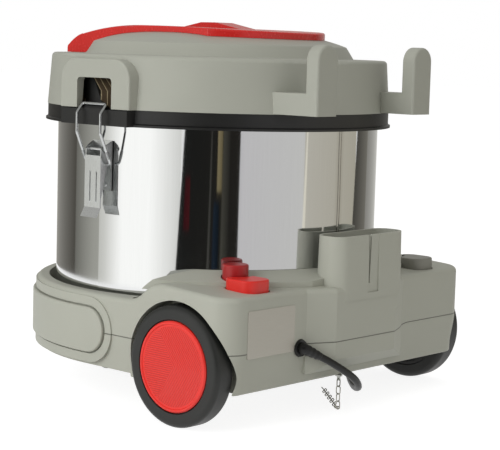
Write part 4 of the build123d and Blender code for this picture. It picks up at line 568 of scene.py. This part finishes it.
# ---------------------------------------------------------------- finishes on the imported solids
class VACUUM_OT_finishes(bpy.types.Operator):
    """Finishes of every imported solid, by its slot"""

    bl_idname = "vacuum.finishes"
    bl_label = "Finishes"

    def execute(self, context):
        colours, sizes = context.scene.vacuum_colours, context.scene.vacuum_sizes
        finishes.update(slot_finishes(colours, sizes, WELD_AT))
        special = {
            # painted shade: a darker red copy for the knob, which sits in shade between the pedal and the
            # tank
            "knob_left": glossy_moulding("red_abs_knob_painted_shade", colours.knob, 0.34),
            "base_upper_shell": shell_moulding("upper_shell_moulding", colours.trolley, sizes.grain),
            "base_lower_shell": shell_moulding("lower_shell_moulding", colours.trolley, sizes.grain),
            "wheel_cap_right": grooved_cap(colours.cap, sizes.groove_pitch, -1),
        }
        for row in frame["record"]["subparts"]:
            name = row["node"]
            finish = special.get(name, finishes[row["material_slot"]])
            materials = nodes[name].data.materials
            materials.clear()
            materials.append(finish.material)
        return {"FINISHED"}


# ---------------------------------------------------------------- tank trim
WELD_AT = radians(89.2)
WELD_FOOT, WELD_TOP = 88.0, 277.6
WELD_RIPPLE, WELD_WANDER = 0.03, 0.25   # how far the bead's surface ripples and its line wanders
# share of the width, and how far the bead stands out in mm: a ridge between two sunk dark edges
WELD_SECTION = (
    (0.0, 0.03), (0.1, 0.05), (0.14, 0.05), (0.22, 0.1), (0.35, 0.22), (0.5, 0.27),
    (0.65, 0.22), (0.78, 0.1), (0.86, 0.05), (0.9, 0.05), (1.0, 0.03),
)


class VACUUM_OT_tank_weld(bpy.types.Operator):
    """Weld bead up the back of the tank"""

    bl_idname = "vacuum.tank_weld"
    bl_label = "Tank weld"

    def execute(self, context):
        width = context.scene.vacuum_sizes.weld_width
        rows, across = 60, len(WELD_SECTION) - 1
        vertices = []
        for i in range(rows + 1):
            height = (WELD_FOOT + (WELD_TOP - WELD_FOOT) * i / rows) * MM
            for share, out in WELD_SECTION:
                ripple = WELD_RIPPLE * sin(i * 1.9) if 0.2 < share < 0.8 else 0
                wander = WELD_WANDER * MM * sin(i * 0.21)
                turn = WELD_AT + (width * (share - 0.5) + wander) / TANK_RADIUS
                vertices.append(polar(TANK_RADIUS + (out + ripple) * MM, turn, height))
        edges = [int(j in (1, 2, across - 3, across - 2)) for j in range(across)] * rows
        faces = quads(rows + 1, across + 1)
        bead = new_piece("tank_weld_bead", vertices, faces, "trolley", "polished_tank")
        bead.data.materials.append(oxide_scale().material)
        bead.data.polygons.foreach_set("material_index", edges)
        return {"FINISHED"}


# ---------------------------------------------------------------- front corners of the cover
COVER_BACK = ((-178.0, 339.2), (-107.0, 360.5), (-32.0, 367.8))   # (y, z) points of the cover's side view
COVER_HALF_WIDTH, COVER_CORNER_Y, COVER_FRONT_Y = 85.0, -120.0, -160.0
SHOULDER_HEIGHT = 338.7
CORNER_REACH, CORNER_DROP = 20.5, 6.5     # how far a corner reaches past the solid cover, and falls below it
CORNER_SIDE_GAP, CORNER_FRONT_GAP = 0.6, 0.2
CORNER_LAP, CORNER_PROUD = 3.0, 0.08      # how far the piece laps over the solid cover, and stands above it


def circle_through(points):
    """Centre and radius of the circle through three points."""
    (ax, ay), (bx, by), (cx, cy) = points
    d = 2 * (ax * (by - cy) + bx * (cy - ay) + cx * (ay - by))
    a2, b2, c2 = ax * ax + ay * ay, bx * bx + by * by, cx * cx + cy * cy
    x = (a2 * (by - cy) + b2 * (cy - ay) + c2 * (ay - by)) / d
    y = (a2 * (cx - bx) + b2 * (ax - cx) + c2 * (bx - ax)) / d
    return x, y, sqrt((ax - x) ** 2 + (ay - y) ** 2)


class VACUUM_OT_cover_corners(bpy.types.Operator):
    """Fuller front corners of the red cover, which slope down to the head's shoulder"""

    bl_idname = "vacuum.cover_corners"
    bl_label = "Cover corners"

    def execute(self, context):
        back_y, back_z, back_radius = circle_through(COVER_BACK)
        front = circle_through((
            (-COVER_HALF_WIDTH, COVER_CORNER_Y), (0, COVER_FRONT_Y), (COVER_HALF_WIDTH, COVER_CORNER_Y)
        ))
        columns, rows = 48, 7
        half = COVER_HALF_WIDTH - CORNER_SIDE_GAP
        vertices = []
        for i in range(columns + 1):
            x = half * (2 * i / columns - 1)
            solid_front = front[1] - sqrt(front[2] ** 2 - x * x)
            new_front = COVER_FRONT_Y - CORNER_FRONT_GAP + (CORNER_REACH - 1.5) * abs(x / half) ** 6
            fullness = max(0.0, (solid_front - new_front) / CORNER_REACH)
            start = solid_front + CORNER_LAP
            column = []
            for j in range(rows):
                share = j / (rows - 1)
                y = start + (new_front + 1.2 - start) * share
                top = back_z + sqrt(back_radius ** 2 - (y - back_y) ** 2)
                column.append((y, top + CORNER_PROUD - CORNER_DROP * fullness * share ** 2))
            last = column[-1][1]
            # the rounded front edge, then the upright front down to the head's shoulder
            column += [(new_front + 0.35, last - 0.5), (new_front, last - 1.5), (new_front, SHOULDER_HEIGHT)]
            vertices += [(x * MM, y * MM, z * MM) for y, z in column]
        count = rows + 3
        faces = quads(columns + 1, count)
        for i, side in ((0, 1), (columns, -1)):
            top_row = [i * count + j for j in range(count)]
            inner = len(vertices)
            vertices.append((vertices[top_row[0]][0], vertices[top_row[0]][1], SHOULDER_HEIGHT * MM))
            faces.append(tuple([*top_row, inner][::side]))
        new_piece("cover_corners", vertices, faces, "head", "red_cover", smooth=False)
        return {"FINISHED"}


# ---------------------------------------------------------------- bare plate on the rear
PLATE_CORNERS = ((92.0, 69.0), (157.0, 113.0))   # x and z of its lower and upper corners
PLATE_ROUND = 2.0
PLATE_BEVEL = 0.12
REAR_WALL = 190.0 * MM                           # y of the flat wall that carries the plate


class VACUUM_OT_bare_plate(bpy.types.Operator):
    """Bare foil plate beside the lead's gland"""

    bl_idname = "vacuum.bare_plate"
    bl_label = "Bare plate"

    def execute(self, context):
        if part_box("base_upper_shell")[1].y < REAR_WALL - 1 * MM:
            raise RuntimeError("the trolley's rear is in front of the plate")
        thickness = context.scene.vacuum_sizes.plate_thickness
        (low_x, low_z), (high_x, high_z) = PLATE_CORNERS
        outline = []
        for cx, cz, start in (
            (high_x, high_z, 0), (low_x, high_z, 90), (low_x, low_z, 180), (high_x, low_z, 270)
        ):
            sx, sz = (1 if cx == high_x else -1), (1 if cz == high_z else -1)
            for k in range(5):
                turn = radians(start + 22.5 * k)
                outline.append((cx - sx * PLATE_ROUND + PLATE_ROUND * cos(turn),
                                cz - sz * PLATE_ROUND + PLATE_ROUND * sin(turn)))
        outer = REAR_WALL + thickness
        # y and inset of each layer: the plate starts inside the wall and ends in a small bevel
        layers = ((REAR_WALL - 0.3 * MM, 0.0), (outer - PLATE_BEVEL * MM, 0.0), (outer, PLATE_BEVEL))
        middle = ((low_x + high_x) / 2, (low_z + high_z) / 2)
        vertices, count = [], len(outline)
        for depth, inset in layers:
            for x, z in outline:
                shrink_x = inset if x > middle[0] else -inset
                shrink_z = inset if z > middle[1] else -inset
                vertices.append(((x - shrink_x) * MM, depth, (z - shrink_z) * MM))
        faces = quads(len(layers), count, ring=True)
        faces.append(tuple(range(count)))
        faces.append(tuple(2 * count + k for k in range(count)))
        plate = new_piece("bare_plate", vertices, faces, "trolley", "grey_moulding", smooth=False)
        plate.data.materials[0] = foil_plate(context.scene.vacuum_colours.plate).material
        return {"FINISHED"}


# ---------------------------------------------------------------- filters
PLEAT_OUTER, PLEAT_INNER = 161.6, 150.4
PLEAT_FOOT, PLEAT_BEND, PLEAT_TOP = 287.4, 303.0, 327.6
PLEAT_LEAN = 0.9                          # sideways for each unit of height above the bend
HOLDER_SPAN = radians(9.0)
HOLDER_MIDDLES = (radians(-4.6), radians(180 - 4.6))
HOLDER_SECTION = ((149.9, 287.3), (162.0, 287.3), (162.0, 327.8), (149.9, 327.8))   # radius and height
FELT_RIBS = 12
FELT_GAP = 0.3 * MM                       # between the bag's bottom and the foot of its box
FELT_DRAWN, FELT_CREASE = 1.1 * MM, 0.25 * MM   # how deep it is drawn in between ribs, and its creases
FELT_CREASES = 37                         # round the bag


def pleat_lean(height):
    """How far a fold has turned back round the head at a height."""
    return max(0.0, height - PLEAT_BEND) * PLEAT_LEAN / PLEAT_OUTER


class VACUUM_OT_filters(bpy.types.Operator):
    """Pleated exhaust filter in the head and felt filter over the basket"""

    bl_idname = "vacuum.filters"
    bl_label = "Filters"

    def execute(self, context):
        self.pleats(context.scene.vacuum_sizes.pleat_pitch / MM)
        self.holders()
        self.felt()
        return {"FINISHED"}

    def pleats(self, pitch):
        """One folded strip round the head: upright folds that lean over at the top."""
        count = round(2 * pi * PLEAT_OUTER / pitch)
        heights = [
            PLEAT_FOOT, PLEAT_BEND - 2, PLEAT_BEND, PLEAT_BEND + 2, (PLEAT_BEND + PLEAT_TOP) / 2, PLEAT_TOP
        ]
        shoulder = PLEAT_OUTER - 0.6
        profile = [(0.0, PLEAT_INNER), (0.44, shoulder), (0.5, PLEAT_OUTER), (0.56, shoulder)]
        vertices, folds = [], []
        for height in heights:
            for i in range(count):
                for share, radius in profile:
                    turn = 2 * pi * (i + share) / count - pleat_lean(height)
                    vertices.append(polar(radius * MM, turn, height * MM))
                    folds.append(1.0 if share == 0.5 else 0.0)
        faces = quads(len(heights), count * len(profile), ring=True)
        strip = new_piece("exhaust_pleats", vertices, faces, "head", "filter_paper", smooth=False)
        # marks the outer tip of each fold, which the paper's finish paints with a highlight
        fold = strip.data.attributes.new("fold", "FLOAT", "POINT")
        fold.data.foreach_set("value", folds)
        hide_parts("exhaust_filter")

    def holders(self):
        """Black end pieces that close the pleats behind each latch window."""
        for number, middle in enumerate(HOLDER_MIDDLES):
            steps = 10
            vertices = []
            for i in range(steps + 1):
                for radius, height in HOLDER_SECTION:
                    turn = middle + HOLDER_SPAN * (i / steps - 0.5) - pleat_lean(height)
                    vertices.append(polar(radius * MM, turn, height * MM))
            faces = quads(steps + 1, 4, ring=True)
            faces += [(0, 1, 2, 3), tuple(4 * steps + j for j in range(4))]
            new_piece(f"pleat_holder_{number + 1}", vertices, faces, "head", "motor_housing", smooth=False)

    def felt(self):
        """Felt bag over the basket, drawn in between the ribs."""
        low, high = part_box("cloth_filter")
        foot, top, radius = low.z, high.z, high.x - 0.4 * MM
        around, bottom = 144, foot + FELT_GAP
        # share of the radius, and height: the flat bottom, its rounded edge and the wall
        rows = [(0.5, bottom), (0.96, bottom), (0.995, foot + 1.5 * MM)]
        rows += [(1.0, foot + 3 * MM + (top - 4 * MM - foot) * i / 16) for i in range(17)]
        vertices = [Vector((0, 0, bottom))]
        for share, height in rows:
            for j in range(around):
                turn = 2 * pi * j / around
                full = min(1.0, (height - foot) / (30 * MM)) * min(1.0, (top - height) / (24 * MM))
                drawn = FELT_DRAWN * max(0.0, full) * (0.5 + 0.5 * cos(FELT_RIBS * turn))
                crease = FELT_CREASE * sin(FELT_CREASES * turn + 2.0 * sin(height / (9 * MM)))
                vertices.append(polar(radius * share - drawn + crease * full, turn, height))
        faces = [(0, 1 + j, 1 + (j + 1) % around) for j in range(around)]
        faces += quads(len(rows), around, ring=True, first=1)
        bag = new_piece("felt_filter", vertices, faces, "head", "filter_cloth")
        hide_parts("cloth_filter")


# ---------------------------------------------------------------- latches
BAIL_ENDS = (("rear", 20.5), ("front", -12.5))      # y of each latch wire's two legs
BAIL_FOOT, BAIL_BELLY = (170.5, 234.0), (184.6, 264.0)   # x and z where a leg starts, and where it bends
END_COIL_START, END_COIL_PITCH, END_COIL_RADIUS, END_COIL_WIRE = 5.0, 1.15, 1.45, 0.5


class VACUUM_OT_latch_coils(bpy.types.Operator):
    """Coiled ends where each latch wire hooks into its lever"""

    bl_idname = "vacuum.latch_coils"
    bl_label = "Latch coils"

    def execute(self, context):
        for side, sign in (("left", 1), ("right", -1)):
            for end, y in BAIL_ENDS:
                foot = Vector((sign * BAIL_FOOT[0], y, BAIL_FOOT[1])) * MM
                belly = Vector((sign * BAIL_BELLY[0], y, BAIL_BELLY[1])) * MM
                up = (belly - foot).normalized()
                across = Vector((0, 1, 0))
                third = up.cross(across)
                turns, steps = 7, 12
                line = []
                for i in range(turns * steps + 1):
                    turn = 2 * pi * i / steps
                    rise = (END_COIL_START + END_COIL_PITCH * i / steps) * MM
                    out = across * cos(turn) + third * sin(turn)
                    line.append(foot + up * rise + END_COIL_RADIUS * MM * out)
                vertices, faces = tube_along(line, [END_COIL_WIRE * MM] * len(line), 6)
                body = f"latch_{side}_bail_body"
                new_piece(f"latch_coil_{side}_{end}", vertices, faces, body, "latch_wire")
        return {"FINISHED"}


# ---------------------------------------------------------------- stage
def blank_tree(holder, output):
    """Empties the nodes of a material or world, and gives its tree and a new output node."""
    holder.use_nodes = True
    holder.node_tree.nodes.clear()
    return holder.node_tree, add_node(holder.node_tree, output)


def seen_by(tree, *rays):
    """A socket that is one for rays of these kinds."""
    path = add_node(tree, "ShaderNodeLightPath")
    seen = path.outputs[f"Is {rays[0]} Ray"]
    for ray in rays[1:]:
        terms = {0: seen, 1: path.outputs[f"Is {ray} Ray"]}
        seen = add_node(tree, "ShaderNodeMath", None, terms, operation="MAXIMUM").outputs[0]
    return seen


def glowing(name):
    """A plain glowing material, as bright as the mesh's own shade."""
    material = bpy.data.materials.new(name)
    tree, out = blank_tree(material, "ShaderNodeOutputMaterial")
    shade = add_node(tree, "ShaderNodeAttribute", attribute_name="shade")
    glow = add_node(tree, "ShaderNodeEmission", None, {"Color": shade.outputs["Color"]})
    tree.links.new(glow.outputs[0], out.inputs["Surface"])
    return material


def screen(name, material, start, end, low, high, first, last, lean=0.0, radius=0.9, power=1.0):
    """Part of the round wall of screens, in degrees, metres and sRGB shades, seen only by mirrors."""
    steps = max(2, round(abs(end - start) / 3))
    vertices, faces, shades = [], [], []
    for i in range(steps + 1):
        share = i / steps
        shade = [power * (a + (b - a) * share) for a, b in zip(srgb(first), srgb(last))]
        for height in (low, high):
            turn = radians(start + (end - start) * share + lean * (height - 0.12) * (1 - share))
            vertices.append((radius * cos(turn), radius * sin(turn), height))
            shades += [*shade, 1.0]
    for i in range(steps):
        faces.append((2 * i, 2 * i + 2, 2 * i + 3, 2 * i + 1))
    mesh = bpy.data.meshes.new(name)
    mesh.from_pydata(vertices, [], faces)
    mesh.color_attributes.new("shade", "FLOAT_COLOR", "POINT").data.foreach_set("color", shades)
    mesh.materials.append(material)
    panel = bpy.data.objects.new(name, mesh)
    bpy.context.scene.collection.objects.link(panel)
    for ray in ("camera", "diffuse", "transmission", "shadow", "volume_scatter"):
        setattr(panel, f"visible_{ray}", False)


# name, start and end in degrees, low and high in metres, shade at start and end, lean in degrees for
# each metre of height, radius in metres, power
SCREENS = [
    ("left_pale_wall", -150, -112, 0.0, 0.6, "#C9C7C0", "#C2C0B8", 0, 0.9),
    ("left_dark_wall", -112, -66.5, 0.0, 0.6, "#A09E98", "#55524C", 0, 0.9),
    ("left_softbox", -66.5, -42, 0.0, 0.6, "#777670", "#B4B4AC", 0, 0.9),
    ("key_softbox_left", -42, -20, 0.0, 0.6, "#A6A69F", "#FAFAF8", 0, 0.9, 1.38),
    ("key_softbox", -20, 0, 0.0, 0.6, "#FAFAF8", "#FAFAF8", 0, 0.9, 1.38),
    ("key_softbox_edge", 0, 20.5, 0.0, 0.6, "#FAFAF8", "#CECECB", 0, 0.9, 1.38),
    ("dark_room", 20.2, 57.3, 0.0, 0.6, "#1E1F1E", "#262421", 20, 0.9),
    ("dark_room_red", 23.0, 26.5, 0.09, 0.165, "#3A1418", "#481A1D", 10, 0.895),
    ("dark_room_rail", 38.6, 39.6, 0.0, 0.5, "#4D4C48", "#3A3A37", 6, 0.895),
    ("dark_room_lamp", 43.4, 46.4, 0.145, 0.26, "#8E8264", "#6B6248", 0, 0.895),
    ("dark_room_post", 46.4, 51.0, 0.03, 0.5, "#4A4942", "#2C2B28", 3, 0.895),
    ("dark_room_window", 41.5, 45.0, 0.0, 0.13, "#202B38", "#141A20", 3, 0.894),
    ("grey_softbox", 57.3, 101.0, 0.0, 0.6, "#D6D4D6", "#D9D8D6", 0, 0.9),
    ("bright_edge", 101.0, 102.4, 0.0, 0.6, "#F3EEDF", "#EFE9D8", 12, 0.897),
    ("cream_wall", 101.0, 150.0, 0.0, 0.6, "#CAC6BB", "#B9B4A5", 0, 0.9),
    ("rear_dark_wall", 149.0, 168.0, 0.0, 0.6, "#4A4843", "#7B7870", 18, 0.896),
    ("rear_grey_wall", 166.0, 210.0, 0.0, 0.6, "#8E8C86", "#DAD9D4", 0, 0.9),
]
AMBIENT = 0.46            # strength of the even light from all round
SHADOW_DEPTH = 0.3        # how much of the lamps' light and the shadows the white floor shows
FLOOR_GLOW = 0.88         # its own white
FLOOR_HALF = 12.0         # metres
LAMP_AIM = Vector((0, 0, 0.18))
# name, place and size in metres, watts, colour
LAMPS = (
    ("key_lamp", (2.6, -0.1, 1.25), 1.8, 43.0, (0.97, 0.985, 1.0)),
    ("top_lamp", (-0.4, 0.3, 2.8), 2.0, 12.0, (1.0, 1.0, 1.0)),
    ("rear_fill", (0.2, 2.8, 1.2), 1.6, 3.0, (1.0, 0.93, 0.82)),
)


class VACUUM_OT_stage(bpy.types.Operator):
    """Floor, white surround, lamps, mirror screens and camera"""

    bl_idname = "vacuum.stage"
    bl_label = "Stage"

    def execute(self, context):
        settings = context.scene.vacuum_stage
        self.camera(context, settings)
        self.surround(context)
        self.floor(context)
        self.lamps(context)
        material = glowing("screen_glow")
        for row in SCREENS:
            screen(row[0], material, *row[1:])
        context.scene.view_settings.view_transform = "Standard"
        return {"FINISHED"}

    def camera(self, context, settings):
        az, pitch, roll = settings.azimuth, settings.pitch, settings.roll
        right = Vector((cos(az), sin(az), 0))
        back = Vector((sin(az) * cos(pitch), -cos(az) * cos(pitch), sin(pitch)))
        up = back.cross(right)
        rolled_right = right * cos(roll) - up * sin(roll)
        rolled_up = right * sin(roll) + up * cos(roll)
        target = right * settings.aim_right + Vector((0, 0, settings.aim_height))
        data = bpy.data.cameras.new("camera")
        data.lens = settings.lens
        data.sensor_width = 36
        data.clip_end = 50
        camera = bpy.data.objects.new("camera", data)
        turned = Matrix((rolled_right, rolled_up, back)).transposed().to_4x4()
        camera.matrix_world = Matrix.Translation(target + back * settings.distance) @ turned
        context.scene.collection.objects.link(camera)
        context.scene.camera = camera

    def surround(self, context):
        """White to the camera, and plain ambient light for everything else."""
        world = bpy.data.worlds.new("white_surround")
        tree, out = blank_tree(world, "ShaderNodeOutputWorld")
        ambient = add_node(
            tree, "ShaderNodeBackground", {"Color": (1, 0.99, 0.965, 1), "Strength": AMBIENT}
        )
        white = add_node(tree, "ShaderNodeBackground", {"Color": (1, 1, 1, 1), "Strength": 1.0})
        seen = seen_by(tree, "Camera", "Transmission")
        mix = add_node(
            tree, "ShaderNodeMixShader", None, {0: seen, 1: ambient.outputs[0], 2: white.outputs[0]}
        )
        tree.links.new(mix.outputs[0], out.inputs["Surface"])
        context.scene.world = world

    def floor(self, context):
        """Plain pale floor: near white to the camera and to mirrors, an even pale grey for the light."""
        floor_finish = bpy.data.materials.new("white_floor")
        tree, out = blank_tree(floor_finish, "ShaderNodeOutputMaterial")
        lit = add_node(tree, "ShaderNodeBsdfDiffuse", {"Color": (0.82, 0.82, 0.81, 1)})
        faint = add_node(tree, "ShaderNodeBsdfDiffuse", {"Color": (*[SHADOW_DEPTH] * 3, 1)})
        glow = add_node(tree, "ShaderNodeEmission", {"Strength": FLOOR_GLOW})
        white = add_node(tree, "ShaderNodeAddShader", None, {0: faint.outputs[0], 1: glow.outputs[0]})
        seen = seen_by(tree, "Camera", "Glossy", "Transmission")
        mix = add_node(
            tree, "ShaderNodeMixShader", None, {0: seen, 1: lit.outputs[0], 2: white.outputs[0]}
        )
        tree.links.new(mix.outputs[0], out.inputs["Surface"])
        mesh = bpy.data.meshes.new("floor")
        half = FLOOR_HALF
        corners = [(-half, -half, 0), (half, -half, 0), (half, half, 0), (-half, half, 0)]
        mesh.from_pydata(corners, [], [(0, 1, 2, 3)])
        mesh.materials.append(floor_finish)
        floor = bpy.data.objects.new("floor", mesh)
        context.scene.collection.objects.link(floor)

    def lamps(self, context):
        """A large soft key from the side and above, and a weaker fill from the rear."""
        for name, place, size, power, tint in LAMPS:
            data = bpy.data.lights.new(name, "AREA")
            data.size = size
            data.energy = power
            data.color = tint
            lamp = bpy.data.objects.new(name, data)
            lamp.location = place
            aim = LAMP_AIM - Vector(place)
            lamp.rotation_euler = aim.to_track_quat("-Z", "Y").to_euler()
            lamp.visible_glossy = False
            context.scene.collection.objects.link(lamp)


# ---------------------------------------------------------------- sidebar and running
OPERATORS = (
    VACUUM_OT_stage, VACUUM_OT_finishes, VACUUM_OT_mains_lead, VACUUM_OT_tank_weld,
    VACUUM_OT_cover_corners, VACUUM_OT_bare_plate, VACUUM_OT_filters, VACUUM_OT_latch_coils,
)
SETTINGS = (("vacuum_colours", VacuumColours), ("vacuum_sizes", VacuumSizes), ("vacuum_stage", VacuumStage))


class VACUUM_PT_sidebar(bpy.types.Panel):
    """Lists the pieces and their sizes and colours"""

    bl_idname = "VACUUM_PT_sidebar"
    bl_label = "Vacuum"
    bl_space_type = "VIEW_3D"
    bl_region_type = "UI"
    bl_category = "Vacuum"

    def draw(self, context):
        for operator in OPERATORS:
            self.layout.operator(operator.bl_idname)
        for attribute, group in SETTINGS:
            settings = getattr(context.scene, attribute)
            for name in group.__annotations__:
                self.layout.prop(settings, name)


def register():
    """Registers the settings, operators and sidebar."""
    for attribute, group in SETTINGS:
        bpy.utils.register_class(group)
        setattr(bpy.types.Scene, attribute, PointerProperty(type=group))
    for cls in (*OPERATORS, VACUUM_PT_sidebar):
        bpy.utils.register_class(cls)


def unregister():
    """Takes the settings, operators and sidebar away again."""
    for cls in (VACUUM_PT_sidebar, *reversed(OPERATORS)):
        bpy.utils.unregister_class(cls)
    for attribute, group in reversed(SETTINGS):
        delattr(bpy.types.Scene, attribute)
        bpy.utils.unregister_class(group)


def main():
    """Builds every piece in order."""
    register()
    for operator in OPERATORS:
        group, name = operator.bl_idname.split(".")
        getattr(getattr(bpy.ops, group), name)()


if __name__ == "__main__":
    main()
